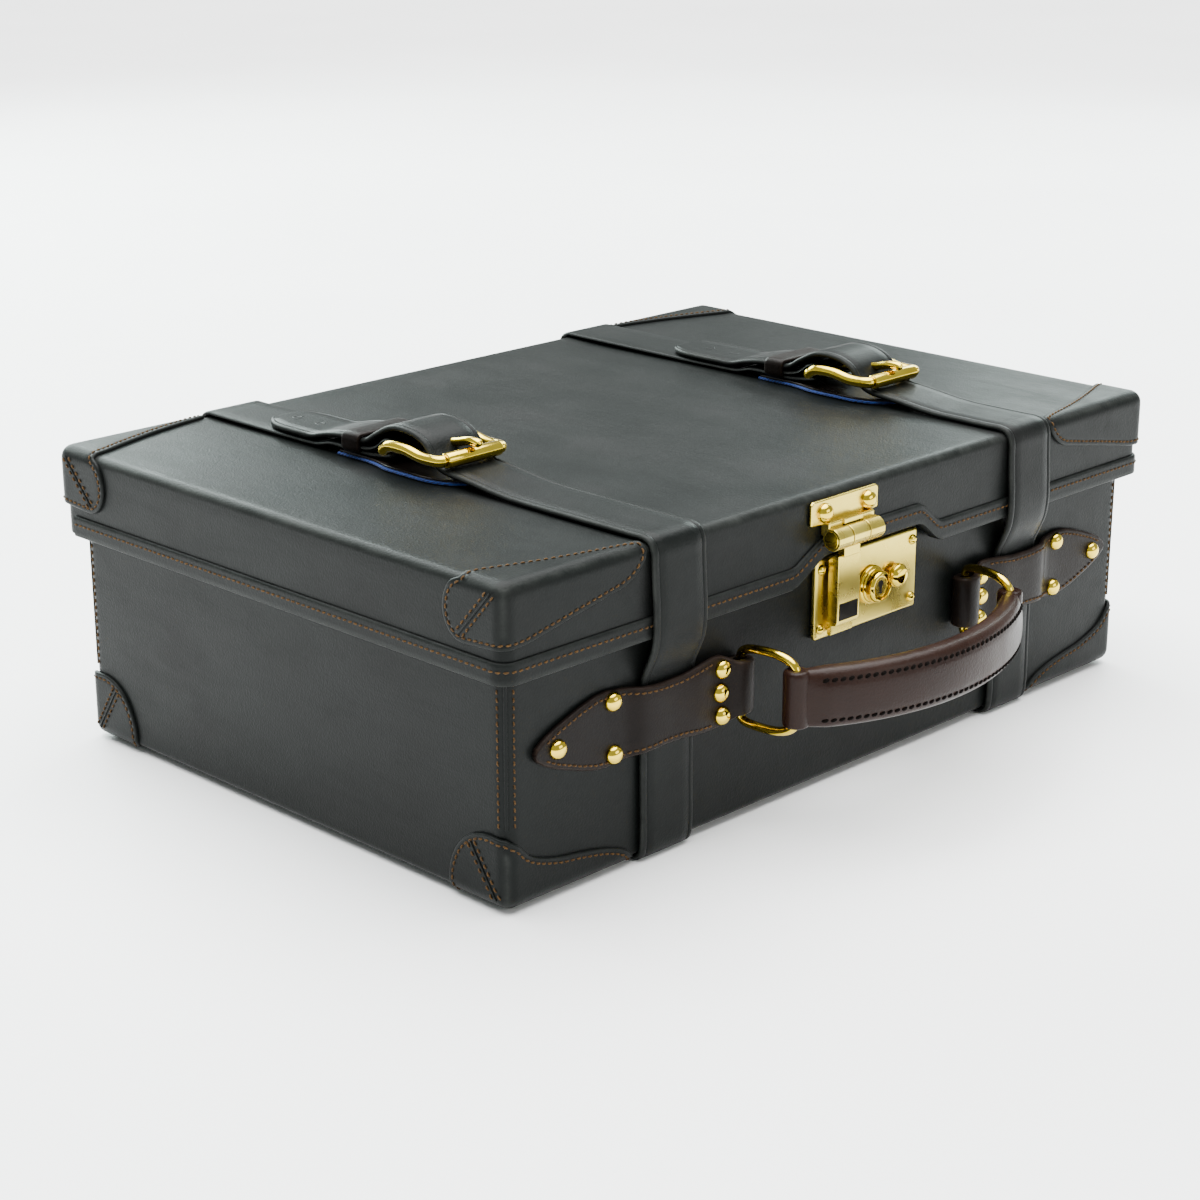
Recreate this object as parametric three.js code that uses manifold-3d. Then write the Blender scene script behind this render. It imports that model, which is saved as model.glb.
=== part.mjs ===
// A leather attache case: a deep stitched box with an overhanging hinged lid, two buckled straps,
// a hasp lock and a padded handle on two swinging rings. Millimetres, +Z up, front face towards -Y.
import * as THREE from "three";
import { mergeVertices } from "three/addons/utils/BufferGeometryUtils.js";
import Module from "manifold-3d";

const wasm = await Module();
wasm.setup();

// ---- driving dimensions ----
const bodyLength = 456; // outside of the base walls along X
const bodyDepth = 305; // outside of the base walls along Y
const lidEdgeHeight = 109; // lower edge of the lid
const totalHeight = 152.5; // top face of the lid
const overhang = 6.5; // how far the lid stands outside the base
const gap = 0.3; // air between touching pieces

const baseFloor = 3.3;
const baseWall = 4;
const baseRim = 134;
const lidWall = 5;
const lidRoof = 4;
const liningThickness = 1.2;
const cornerRadius = 6;
const lidEdgeRounding = 4;
const baseEdgeRounding = 2.5;

const halfLength = bodyLength / 2;
const halfDepth = bodyDepth / 2;
const lidHalfLength = halfLength + overhang;
const lidHalfDepth = halfDepth + overhang;

const capThickness = 1.5;
const bandThickness = 1.2;
const bandHeight = 10.5;
const archRise = 12;
const archLeft = -50;
const archLeftTop = -28.5;
const archRightTop = 44.5;
const archRight = 59;

const strapX = 130.5; // middle of each strap
const strapWidth = 34;
const strapThickness = 3;
const strapSplit = 77; // where the lid's tail meets the lower strap, inside the tab

const handleZ = 71.3;
const ringBarX = 85;
const ringBarY = -158.2;
const ringReach = 30.8;
const ringLean = 4; // how far the ring's outer bar leans towards the middle
const ringWire = 2;
const ringHalfHeight = 17.5;
const gripBulge = 25.8;
const gripThickness = 11;
const gripHeight = 28;

const haspX = -15.4;
const haspAxisY = -166.6;
const haspAxisZ = 130.5;
const haspBarrelRadius = 5.6;
const lockPlateFace = -156.5;
const keyX = 10.5;
const keyZ = 97;
const buttonX = 28.5;
const buttonZ = 98;

const hingeAxisY = 162.5;
const hingeAxisZ = lidEdgeHeight;
const hingeRadius = 3;
const hingeXs = [-80, 0, 80];

const rollerHeight = 12; // above the lid's top face
const heelHeight = 10;
const buckleLength = 41;
const frameHalfWidth = 20;
const frameWire = 2.3;

const frontReach = 220;
const backReach = hingeAxisY + hingeRadius;

// ---- materials ----
const finish = (color, roughness, metalness) => new THREE.MeshStandardMaterial({ color, roughness, metalness });
const bridleLeather = () => finish("#2c2a28", 0.38, 0);
const trimLeather = () => finish("#342a28", 0.42, 0);
const stepLining = () => finish("#5a4632", 0.9, 0);
const felt = () => finish("#1f3f8a", 0.95, 0);
const polishedBrass = () => finish("#d8b24a", 0.16, 1);
const satinBrass = () => finish("#d9c98a", 0.34, 1);
const springSteel = () => finish("#9a9a98", 0.4, 1);

// ---- solids and booleans ----
function toSolid(geometry) {
  const bare = (geometry.index ? geometry.toNonIndexed() : geometry.clone());
  bare.deleteAttribute("normal");
  bare.deleteAttribute("uv");
  const merged = mergeVertices(bare, 1e-4);
  return new wasm.Manifold(new wasm.Mesh({
    numProp: 3,
    vertProperties: merged.attributes.position.array,
    triVerts: new Uint32Array(merged.index.array),
  }));
}

function toGeometry(solid) {
  const mesh = solid.getMesh();
  const geometry = new THREE.BufferGeometry();
  geometry.setAttribute("position", new THREE.BufferAttribute(Float32Array.from(mesh.vertProperties), 3));
  geometry.setIndex(Array.from(mesh.triVerts));
  geometry.computeVertexNormals();
  return geometry;
}

const join = (...pieces) => pieces.reduce((whole, piece) => whole.add(piece));
const cut = (whole, ...tools) => tools.reduce((rest, tool) => rest.subtract(tool), whole);

// Extrudes a flat shape; the plane names say which axes its two coordinates become.
function slab(shape, plane, start, depth, curveSegments = 3) {
  const geometry = new THREE.ExtrudeGeometry(shape, { depth, bevelEnabled: false, curveSegments });
  return toSolid(geometry.applyMatrix4(planeMatrix(plane, start)));
}

function box(low, high) {
  const size = high.map((value, i) => value - low[i]);
  const geometry = new THREE.BoxGeometry(...size);
  geometry.translate(...low.map((value, i) => value + size[i] / 2));
  return toSolid(geometry);
}

function cylinder(axis, radius, length, centre, sides = 24) {
  const geometry = new THREE.CylinderGeometry(radius, radius, length, sides);
  if (axis === "X") geometry.rotateZ(Math.PI / 2);
  if (axis === "Z") geometry.rotateX(Math.PI / 2);
  geometry.translate(...centre);
  return toSolid(geometry);
}

// A closed outline without the points that lie on the straight line between their neighbours.
function outlineOf(points) {
  const count = points.length;
  const bends = points.filter((point, i) => {
    const before = point.clone().sub(points[(i + count - 1) % count]);
    const after = points[(i + 1) % count].clone().sub(point);
    return Math.abs(before.cross(after)) > 2e-4 * before.length() * after.length();
  });
  return new THREE.Shape(bends);
}

const polygon = (points) => outlineOf(points.map(([a, b]) => new THREE.Vector2(a, b)));

function roundedRectangle(halfX, halfY, radius) {
  const shape = new THREE.Shape();
  shape.absarc(halfX - radius, halfY - radius, radius, 0, Math.PI / 2);
  shape.absarc(radius - halfX, halfY - radius, radius, Math.PI / 2, Math.PI);
  shape.absarc(radius - halfX, radius - halfY, radius, Math.PI, 1.5 * Math.PI);
  shape.absarc(halfX - radius, radius - halfY, radius, 1.5 * Math.PI, 2 * Math.PI);
  return shape;
}

// Turns local (across, up, along) points into the plane's own axes.
function planeMatrix(plane, start) {
  const [x, y, z] = [new THREE.Vector3(1, 0, 0), new THREE.Vector3(0, 1, 0), new THREE.Vector3(0, 0, 1)];
  const basis = new THREE.Matrix4();
  if (plane === "YZ") basis.makeBasis(y, z, x).setPosition(start, 0, 0);
  if (plane === "XZ") basis.makeBasis(x, z, y.clone().negate()).setPosition(0, start, 0);
  if (plane === "XY") basis.setPosition(0, 0, start);
  return basis;
}

// The stations of a smooth line: a new one wherever the line has bent by the given angle.
function stations(points, steps, bend) {
  const line = new THREE.CatmullRomCurve3(points.map(([a, b]) => new THREE.Vector3(a, b, 0)));
  const kept = [];
  for (let i = 0; i <= steps; i++) {
    const at = line.getPoint(i / steps);
    const along = line.getTangent(i / steps);
    const last = kept[kept.length - 1];
    const turned = last ? Math.acos(Math.min(1, last.along.dot(along))) : Infinity;
    if (i === steps || turned > bend) kept.push({ at, along });
  }
  return kept;
}

// A strip of even thickness along a smooth line in a plane, as wide as its depth.
function ribbon(points, plane, start, depth, thickness, steps, bend = 0.07) {
  const positions = [];
  const faces = [];
  const kept = stations(points, steps, bend);
  kept.forEach(({ at, along }, i) => {
    const side = new THREE.Vector3(-along.y, along.x, 0).multiplyScalar(thickness / 2);
    const [near, far] = [at.clone().add(side), at.clone().sub(side)];
    positions.push(near.x, near.y, 0, far.x, far.y, 0, far.x, far.y, depth, near.x, near.y, depth);
    if (i === 0) return;
    for (let k = 0; k < 4; k++) {
      const [a, b] = [4 * (i - 1) + k, 4 * (i - 1) + (k + 1) % 4];
      faces.push(a, a + 4, b, b, a + 4, b + 4);
    }
  });
  const end = 4 * (kept.length - 1);
  faces.push(0, 1, 2, 0, 2, 3, end, end + 2, end + 1, end, end + 3, end + 2);
  const geometry = new THREE.BufferGeometry();
  geometry.setAttribute("position", new THREE.Float32BufferAttribute(positions, 3));
  geometry.setIndex(faces);
  return toSolid(geometry.applyMatrix4(planeMatrix(plane, start)));
}

function strapRibbon(points, x, steps, width = strapWidth, thickness = strapThickness) {
  return ribbon(points, "YZ", x - width / 2, width, thickness, steps);
}

function tube(points, radius, steps, sides = 10) {
  const path = new THREE.CatmullRomCurve3(points.map((p) => new THREE.Vector3(...p)));
  const round = new THREE.Shape().absarc(0, 0, radius, 0, 2 * Math.PI);
  const settings = { steps, extrudePath: path, curveSegments: sides / 2, bevelEnabled: false };
  return toSolid(new THREE.ExtrudeGeometry(round, settings));
}

function turned(profile, axis, centre, segments = 24) {
  const points = profile.map(([r, h]) => new THREE.Vector2(r, h));
  const geometry = new THREE.LatheGeometry(points, segments);
  if (axis === "-Y") geometry.rotateX(Math.PI);
  if (axis === "X") geometry.rotateZ(-Math.PI / 2);
  geometry.translate(...centre);
  return toSolid(geometry);
}

const caseGroup = new THREE.Group();
caseGroup.position.y = (frontReach - backReach) / 2;

function place(name, solid, material) {
  const mesh = new THREE.Mesh(toGeometry(solid), material);
  mesh.name = name;
  caseGroup.add(mesh);
}

// ---- box and lid ----
const lockOpening = box([-16, -halfDepth - 1, 82], [42, -halfDepth + 14, 114]);

// An upright block with rounded corners and with its top and bottom edges rounded over.
function softBlock(halfX, halfY, low, high, radius, rounding) {
  const geometry = new THREE.ExtrudeGeometry(roundedRectangle(halfX, halfY, radius), {
    depth: high - low - 2 * rounding, bevelThickness: rounding, bevelSize: rounding, bevelOffset: -rounding,
    bevelSegments: 3, curveSegments: 3,
  });
  return toSolid(geometry.translate(0, 0, low + rounding));
}

// The outside of the base or lid, grown outwards by some amount; only the closed end is rounded.
function baseBlock(grow, low) {
  const radius = cornerRadius + grow;
  const whole = softBlock(halfLength + grow, halfDepth + grow, low, baseRim + 20, radius, baseEdgeRounding + grow);
  return whole.subtract(box([-lidHalfLength, -lidHalfDepth, baseRim], [lidHalfLength, lidHalfDepth, baseRim + 30]));
}

function lidBlock(grow) {
  const [reachX, reachY] = [lidHalfLength + grow, lidHalfDepth + grow];
  const top = totalHeight + grow;
  const whole = softBlock(reachX, reachY, lidEdgeHeight - 20, top, cornerRadius + grow, lidEdgeRounding + grow);
  return whole.subtract(box([-reachX - 1, -reachY - 1, 0], [reachX + 1, reachY + 1, lidEdgeHeight]));
}

function baseShell() {
  const outside = baseBlock(0, baseFloor);
  const innerShape = roundedRectangle(halfLength - baseWall, halfDepth - baseWall, cornerRadius - 3);
  const inside = slab(innerShape, "XY", baseFloor + baseWall, baseRim);
  return cut(outside, inside, lockOpening);
}

// The raised part of the lid's lower edge, over the lock.
const archPoints = [
  [archLeft, lidEdgeHeight], [archLeftTop, lidEdgeHeight + archRise],
  [archRightTop, lidEdgeHeight + archRise], [archRight, lidEdgeHeight],
];

function lidShell() {
  const height = totalHeight - lidEdgeHeight;
  const outside = lidBlock(0);
  const innerShape = roundedRectangle(lidHalfLength - lidWall, lidHalfDepth - lidWall, cornerRadius - 3);
  const inside = slab(innerShape, "XY", lidEdgeHeight - 1, height - lidRoof + 1);
  const below = [[archRight + 1, lidEdgeHeight - 3], [archLeft - 1, lidEdgeHeight - 3]];
  const arch = slab(polygon([...archPoints, ...below]), "XZ", -lidHalfDepth + 10, 20);
  return cut(outside, inside, arch);
}

function tray(halfX, halfY, low, high, sheetAtTop) {
  const wall = slab(roundedRectangle(halfX, halfY, 3), "XY", low, high - low);
  const coreShape = roundedRectangle(halfX - liningThickness, halfY - liningThickness, 2);
  const coreLow = sheetAtTop ? low - 1 : low + liningThickness;
  const coreHigh = sheetAtTop ? high - liningThickness : high + 1;
  return cut(wall, slab(coreShape, "XY", coreLow, coreHigh - coreLow));
}

function lidEdgeBand() {
  const top = lidEdgeHeight + bandHeight;
  const frontY = -lidHalfDepth - gap;
  const sideX = lidHalfLength + gap;
  const reach = sideX + bandThickness;
  const front = slab(polygon([
    [-reach, lidEdgeHeight], ...archPoints, [reach, lidEdgeHeight], [reach, top],
    ...archPoints.map(([x, z]) => [x + 3 * Math.sign(x), z + bandHeight]).reverse(), [-reach, top],
  ]), "XZ", frontY, bandThickness);
  const left = box([-reach, frontY - bandThickness, lidEdgeHeight], [-sideX, lidHalfDepth - 8, top]);
  const right = box([sideX, frontY - bandThickness, lidEdgeHeight], [reach, lidHalfDepth - 8, top]);
  return join(front, left, right);
}

// ---- stitched corner caps: one skin over the three faces that meet at a corner ----
function cornerCap(sideX, sideY, skin, faces) {
  const flat = polygon(faces.flat.map(([a, b]) => [sideX * a, sideY * b]));
  const wall = polygon(faces.wall.map(([a, z]) => [sideX * a, z]));
  const end = polygon(faces.end.map(([b, z]) => [sideY * b, z]));
  const depth = 9;
  const wallStart = sideY < 0 ? -faces.wallY + depth / 2 : faces.wallY + depth / 2;
  const endStart = sideX < 0 ? -faces.endX - depth / 2 : faces.endX - depth / 2;
  const outline = join(
    slab(flat, "XY", faces.flatZ - depth / 2, depth),
    slab(wall, "XZ", wallStart, depth),
    slab(end, "YZ", endStart, depth),
  );
  return skin.intersect(outline);
}

function lidCapFaces() {
  const outX = lidHalfLength + 5;
  const outY = lidHalfDepth + 5;
  const top = totalHeight + 5;
  return {
    flatZ: totalHeight,
    flat: [[outX, outY], [149.5, outY], [149.5, 155], [190, 147], [230, 135], [outX, 133]],
    wallY: lidHalfDepth,
    wall: [[outX, top], [149.5, top], [149.5, 143], [155, 137], [192, 131], [214, 126], [outX, 124.5]],
    endX: lidHalfLength,
    end: [[outY, top], [134, top], [125, 144], [123, 134], [128, 125], [134, 123.5], [outY, 124.5]],
  };
}

function baseCapFaces() {
  const outX = halfLength + 5;
  const outY = halfDepth + 5;
  return {
    flatZ: baseFloor,
    flat: [[outX, outY], [149.5, outY], [150, 148], [185, 140], [215, 128], [225, 117], [outX, 115]],
    wallY: halfDepth,
    wall: [[outX, -2], [149.5, -2], [149.5, 8], [168, 14.5], [194, 18], [214, 25], [224, 33], [outX, 35]],
    endX: halfLength,
    end: [[outY, -2], [115, -2], [116, 15], [122, 27], [133, 35], [146, 36], [outY, 35]],
  };
}

// ---- straps ----
const topLine = totalHeight + gap + strapThickness / 2;

// From the lower end inside the tab, up the lid's front, over the edge and through the buckle to the tip.
function billetPoints(rollerY, tailLength) {
  const v = (offset, height) => [rollerY + offset, totalHeight + height];
  return [
    [-154.6, strapSplit + 1.5], [-154.6, 84], [-155.6, 90], [-158.6, 97], [-161.4, 104], [-162.6, 112],
    [-162.5, 122], [-161.7, 134], [-161.2, 143], [-160.9, 148.5], [-158.8, 152.8], [-154.4, 154.3], [-146, topLine],
    [-120, topLine], v(-27, 1.8), v(-17, 4.1), v(-8, 5.1), v(0, 5.9), v(6, 7.6), v(11, 12), v(15.5, 17),
    v(22, 20), v(31, 21.2), v(40, 20.4), v(50, 15.6), v(58, 10.9), v(64, 9.9), v(78, 9.9), v(90, 7.9),
    v(100, 5.4), v(110, 5.1), v(tailLength, 5.1),
  ];
}

function billet(x, rollerY, tailLength) {
  const strip = strapRibbon(billetPoints(rollerY, tailLength), x, 90);
  const slot = box([x - 2.9, rollerY + 5.5, totalHeight + 4], [x + 2.9, rollerY + 20, totalHeight + 26]);
  return cut(strip, slot);
}

// From its turned-back end over the heel bar of the buckle, back under it and down the lid's rear wall.
function chapeStrap(x, rollerY) {
  const heelY = rollerY + buckleLength;
  const v = (offset, height) => [heelY + offset, totalHeight + height];
  const turn = 3.7;
  const strip = strapRibbon([
    v(38, 6.9), v(16, 6.9), v(9, 9.2), v(3.4, heelHeight + turn - 0.4), v(0, heelHeight + turn),
    v(-2.7, heelHeight + 2.7), v(-turn, heelHeight), v(-2.7, heelHeight - 2.7), v(0, heelHeight - turn), v(7, 5.2),
    v(14, 4.5), v(30, 4.4), v(44, 4.4), v(54, 2.2), v(64, 1.8), [140, topLine], [150, topLine], [156.6, 154],
    [160.4, 151], [161, 145], [160.9, 138], [160.9, 113],
  ], x, 110, strapWidth, 2.2);
  const prongSlot = box([x - 3.6, heelY - 8, totalHeight], [x + 3.6, heelY + 6.5, totalHeight + 20]);
  return cut(strip, prongSlot);
}

function lowerStrap(x) {
  const wallY = halfDepth + 0.6 + strapThickness / 2;
  return strapRibbon([
    [-wallY, strapSplit - 1], [-wallY, 40], [-wallY, 7], [-wallY + 1, 3.6], [-wallY + 3.2, 1.9], [-wallY + 5.6, 1.52],
    [-wallY + 8, 1.5], [-wallY + 20, 1.5], [wallY - 20, 1.5], [wallY - 8, 1.5], [wallY - 5.6, 1.52],
    [wallY - 3.2, 1.9], [wallY - 1, 3.6], [wallY, 7], [wallY, 50], [wallY, 102],
  ], x, 60);
}

function keeper(x, rollerY) {
  const low = totalHeight + 3.1;
  const high = totalHeight + 13.8;
  const near = rollerY + 61;
  const half = strapWidth / 2;
  const outside = box([x - half - 2.4, near, low], [x + half + 2.4, near + 12.5, high]);
  return cut(outside, box([x - half - 0.5, near - 1, low - 1], [x + half + 0.5, near + 14, high - 2]));
}

function bucklePad(x, rollerY) {
  const front = rollerY - 11;
  const back = rollerY + 80;
  const wide = 21;
  const narrow = strapWidth / 2;
  const shape = new THREE.Shape();
  shape.moveTo(x - narrow, back);
  shape.lineTo(x - narrow, back - 34);
  shape.quadraticCurveTo(x - wide, back - 48, x - wide, front + 20);
  shape.quadraticCurveTo(x - wide + 1, front, x, front);
  shape.quadraticCurveTo(x + wide - 1, front, x + wide, front + 20);
  shape.quadraticCurveTo(x + wide, back - 48, x + narrow, back - 34);
  shape.lineTo(x + narrow, back);
  return slab(shape, "XY", totalHeight + gap, 2.5, 6);
}

// ---- roller buckle ----
function buckleFrame(x, rollerY) {
  const v = (side, offset, height) => [x + side, rollerY + offset, totalHeight + height];
  const bar = (side) => tube([
    v(side, buckleLength + 1.5, heelHeight - 0.4), v(side, buckleLength - 1, heelHeight + 1), v(side, 36, 13.4),
    v(side, 24, 13.4), v(side, 11, 11.4), v(side, 3, rollerHeight - 0.3), v(side, -2, rollerHeight),
  ], frameWire, 14, 10);
  const heel = cylinder("X", 2.2, 2 * frameHalfWidth + 2, v(0, buckleLength, heelHeight), 14);
  const axle = cylinder("X", 1.6, 2 * frameHalfWidth, v(0, 0, rollerHeight), 12);
  return join(bar(-frameHalfWidth), bar(frameHalfWidth), heel, axle);
}

function buckleRoller(x, rollerY) {
  const half = 17.2;
  const profile = [[2.1, -half], [3.2, -half], [3.2, half], [2.1, half], [2.1, -half]];
  return turned(profile, "X", [x, rollerY, totalHeight + rollerHeight], 20);
}

function buckleProng(x, rollerY) {
  const v = (offset, height) => [x, rollerY + offset, totalHeight + height];
  const eye = cylinder("X", 4.5, 6, v(buckleLength, heelHeight), 18);
  const bore = cylinder("X", 2.6, 8, v(buckleLength, heelHeight), 18);
  const shaft = tube([v(buckleLength - 3.6, heelHeight + 0.6), v(26, 13.2), v(10, 15.4), v(0, 17.3), v(-4, 17.5)],
    1.8, 10, 10);
  return cut(join(eye, shaft), bore);
}

// ---- handle ----
function handleTab(side) {
  const line = [
    [213, -154.4], [190, -154.4], [165, -154.4], [157, -155.2], [150.5, -158.1], [145, -158.9], [130, -158.9],
    [116, -158.9], [110.5, -158.4], [104, -157.6], [98, -157.6], [92.5, -160], [89, -161.8], [85, -162.1],
    [82.1, -161], [81.1, -158.2], [82.1, -155.4], [85, -154.3], [90, -154.3], [104, -154.3],
  ].map(([x, y]) => [side * x, y]);
  const sheet = ribbon(line, "XY", handleZ - 20, 40, 2.8, 90, 0.12);
  const upper = [
    [213, 0], [212, 3], [205, 7], [186, 14.5], [172, 18], [165, 18], [150, 16], [138, 15], [125, 15.2],
    [112, 16.8], [99, 17.6], [93, 16.6], [90.5, 13.4], [79, 13],
  ];
  const lower = upper.slice(1).reverse().map(([x, z]) => [x, -z]);
  const outline = polygon([...upper, ...lower].map(([x, z]) => [side * x, handleZ + z]));
  return sheet.intersect(slab(outline, "XZ", -150, 16));
}

function dRing(side) {
  const along = ringLean / ringReach;
  const at = (reach, height) => {
    const x = side * (ringBarX - reach * along);
    return [x, ringBarY - reach * Math.sqrt(1 - along * along), handleZ + height];
  };
  const h = ringHalfHeight;
  const arms = tube([
    at(0, -h + 4), at(0.8, -h + 1.4), at(3.6, -h), at(12, -h - 0.6), at(22, -h + 0.2), at(28, -h + 2.6),
    at(30.3, -h + 4.6), at(ringReach, -h + 6.6), at(ringReach, 0), at(ringReach, h - 6.6), at(30.3, h - 4.6),
    at(28, h - 2.6), at(22, h - 0.2), at(12, h + 0.6), at(3.6, h), at(0.8, h - 1.4), at(0, h - 4),
  ], ringWire, 36, 10);
  const bar = cylinder("Z", ringWire, 2 * h - 7, at(0, 0), 14);
  return join(arms, bar);
}

function handleGrip() {
  const endX = ringBarX - ringLean;
  const endY = ringBarY - Math.sqrt(ringReach ** 2 - ringLean ** 2);
  const radius = (endX ** 2 + gripBulge ** 2) / (2 * gripBulge);
  const centreY = endY - gripBulge + radius;
  const reachAngle = Math.asin(endX / radius);
  const half = gripThickness / 2;
  const outer = [];
  const inner = [];
  const steps = 28;
  for (let i = 0; i <= steps; i++) {
    const turn = (2 * i / steps - 1) * reachAngle * 0.93;
    const fromEnd = (1 - Math.abs(2 * i / steps - 1)) * 4;
    const thick = half * Math.min(1, 0.62 + 0.38 * Math.sin(Math.min(1, fromEnd) * Math.PI / 2));
    outer.push([Math.sin(turn) * (radius + thick), centreY - Math.cos(turn) * (radius + thick)]);
    inner.push([Math.sin(turn) * (radius - thick), centreY - Math.cos(turn) * (radius - thick)]);
  }
  const body = slab(polygon([...outer, ...inner.reverse()]), "XY", handleZ - gripHeight / 2, gripHeight);
  const loopHeight = 22;
  const loops = [-1, 1].map((side) => cylinder("Z", 6.4, loopHeight, [side * endX, endY, handleZ], 20));
  const room = [-1, 1].map((side) => box(
    [side * endX - 7.5, endY - 9, handleZ - 20], [side * endX + 7.5, endY + 9, handleZ - loopHeight / 2]));
  const roomAbove = [-1, 1].map((side) => box(
    [side * endX - 7.5, endY - 9, handleZ + loopHeight / 2], [side * endX + 7.5, endY + 9, handleZ + 20]));
  const leftBore = cylinder("Z", ringWire + 0.9, 60, [-endX, endY, handleZ], 16);
  const rightBore = cylinder("Z", ringWire + 1.3, 60, [endX, endY, handleZ], 16);
  return cut(join(body, ...loops), ...room, ...roomAbove, leftBore, rightBore);
}

// ---- hasp lock ----
function lockPlate() {
  const face = polygon([[-30, 77.5], [46.6, 77.5], [46.6, 118], [-30, 118]]);
  const back = -halfDepth - gap;
  const plate = slab(face, "XZ", back, back - lockPlateFace);
  const keyHole = cylinder("Y", 6.3, 12, [keyX, lockPlateFace, keyZ], 24);
  const buttonHole = cylinder("Y", 3.9, 12, [buttonX, lockPlateFace, buttonZ], 20);
  return cut(plate, keyHole, buttonHole);
}

function lockCase() {
  const outside = box([-14, -halfDepth + 0.2, 84], [40, -halfDepth + 12, 112]);
  const inside = box([-12.6, -halfDepth - 1, 85.4], [38.6, -halfDepth + 10.6, 110.6]);
  return cut(outside, inside);
}

function keyCollar() {
  const profile = [
    [6.3, 0], [9.6, 0], [9.6, 1.6], [9, 2.8], [8.2, 3.4], [7.9, 6.2], [7.3, 7.3], [6.3, 7.6], [6.3, 0],
  ];
  return turned(profile, "-Y", [keyX, lockPlateFace - gap, keyZ]);
}

function keyCylinder() {
  const front = lockPlateFace - 6.6;
  const plug = cylinder("Y", 5.9, 18.6, [keyX, front + 9.3, keyZ], 24);
  const keyway = box([keyX - 0.8, front - 1, keyZ - 3.6], [keyX + 0.8, front + 6, keyZ + 3.6]);
  return cut(plug, keyway);
}

function lockButton() {
  const stem = cylinder("Y", 3.5, 14, [buttonX, lockPlateFace + 2, buttonZ], 20);
  const head = cylinder("Y", 5.6, 4.4, [buttonX, lockPlateFace - 6.4, buttonZ], 24);
  return join(stem, head);
}

function lockBolt() {
  const y = -halfDepth + 5.6;
  return box([-10.5, y, 103.4], [33, y + 3, 108]);
}

function haspPlate() {
  const back = -lidHalfDepth - gap;
  const plate = slab(polygon([[-40.5, 136.9], [8.3, 136.9], [8.3, 149], [-40.5, 149]]), "XZ", back, 2);
  const neck = box([haspX - 16.8, haspAxisY + 1, 132], [haspX + 16.8, back, 138.5]);
  const barrel = cylinder("X", haspBarrelRadius, 33.6, [haspX, haspAxisY, haspAxisZ], 8);
  const leafRoom = cylinder("X", 8.4, 12.6, [haspX, haspAxisY, haspAxisZ], 24);
  const pinRoom = cylinder("X", 1.9, 40, [haspX, haspAxisY, haspAxisZ], 16);
  return cut(join(plate, neck, barrel), leafRoom, pinRoom);
}

function haspLeaf() {
  const side = polygon([
    [-164.5, 120.5], [-164.5, 86.6], [-163.4, 85], [-160.6, 84.6], [-160.9, 80.2], [-158.4, 79.6],
    [-157.4, 84], [-158.2, 90], [-158.2, 117.5], [-161.6, 120.5],
  ]);
  const blade = slab(side, "YZ", haspX - 8.2, 16.4);
  const tongue = box([haspX - 5.8, -166, 118.5], [haspX + 5.8, -161.6, 129]);
  const knuckle = cylinder("X", haspBarrelRadius, 11.6, [haspX, haspAxisY, haspAxisZ], 8);
  const pinRoom = cylinder("X", 1.9, 20, [haspX, haspAxisY, haspAxisZ], 16);
  return cut(join(blade, tongue, knuckle), pinRoom);
}

// ---- rear hinges ----
function hingeLidLeaf(x) {
  const back = lidHalfDepth + gap;
  const plate = box([x - 22, back, 112.6], [x + 22, back + 1.4, 131]);
  const tongue = box([x - 7, back, 109.5], [x + 7, back + 1.4, 113]);
  const knuckle = cylinder("X", hingeRadius, 14, [x, hingeAxisY, hingeAxisZ], 16);
  const pinRoom = cylinder("X", 1.6, 20, [x, hingeAxisY, hingeAxisZ], 16);
  return cut(join(plate, tongue, knuckle), pinRoom);
}

function hingeBaseLeaf(x) {
  const wall = halfDepth + gap;
  const plate = box([x - 22, wall, 84], [x + 22, wall + 1.4, 106.8]);
  const arm = box([x - 22, wall, 104.2], [x + 22, hingeAxisY + 1.6, 106.8]);
  const knuckles = cylinder("X", hingeRadius, 44, [x, hingeAxisY, hingeAxisZ], 16);
  const lidRoom = cylinder("X", hingeRadius + 0.6, 14.8, [x, hingeAxisY, hingeAxisZ], 24);
  const pinRoom = cylinder("X", 1.6, 60, [x, hingeAxisY, hingeAxisZ], 16);
  return cut(join(plate, arm, knuckles), lidRoom, pinRoom);
}

// ---- assembly ----
place("base_shell", baseShell(), bridleLeather());
place("lid_shell", lidShell(), bridleLeather());
const baseTray = tray(halfLength - baseWall - gap, halfDepth - baseWall - gap, baseFloor + baseWall + gap, 130, false);
place("base_lining", cut(baseTray, lockOpening), stepLining());
const lidTray = tray(lidHalfLength - lidWall - gap, lidHalfDepth - lidWall - gap, 136, totalHeight - lidRoof - gap, true);
place("lid_lining", lidTray, stepLining());
place("lid_edge_band", lidEdgeBand(), bridleLeather());

const baseSkin = baseBlock(gap + capThickness, 0).subtract(baseBlock(gap, baseFloor - gap));
const lidSkin = lidBlock(gap + capThickness).subtract(lidBlock(gap));
for (const [endName, sideX] of [["left", -1], ["right", 1]]) {
  for (const [faceName, sideY] of [["front", -1], ["back", 1]]) {
    place(`lid_cap_${faceName}_${endName}`, cornerCap(sideX, sideY, lidSkin, lidCapFaces()), bridleLeather());
    place(`base_cap_${faceName}_${endName}`, cornerCap(sideX, sideY, baseSkin, baseCapFaces()), bridleLeather());
  }
}

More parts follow.
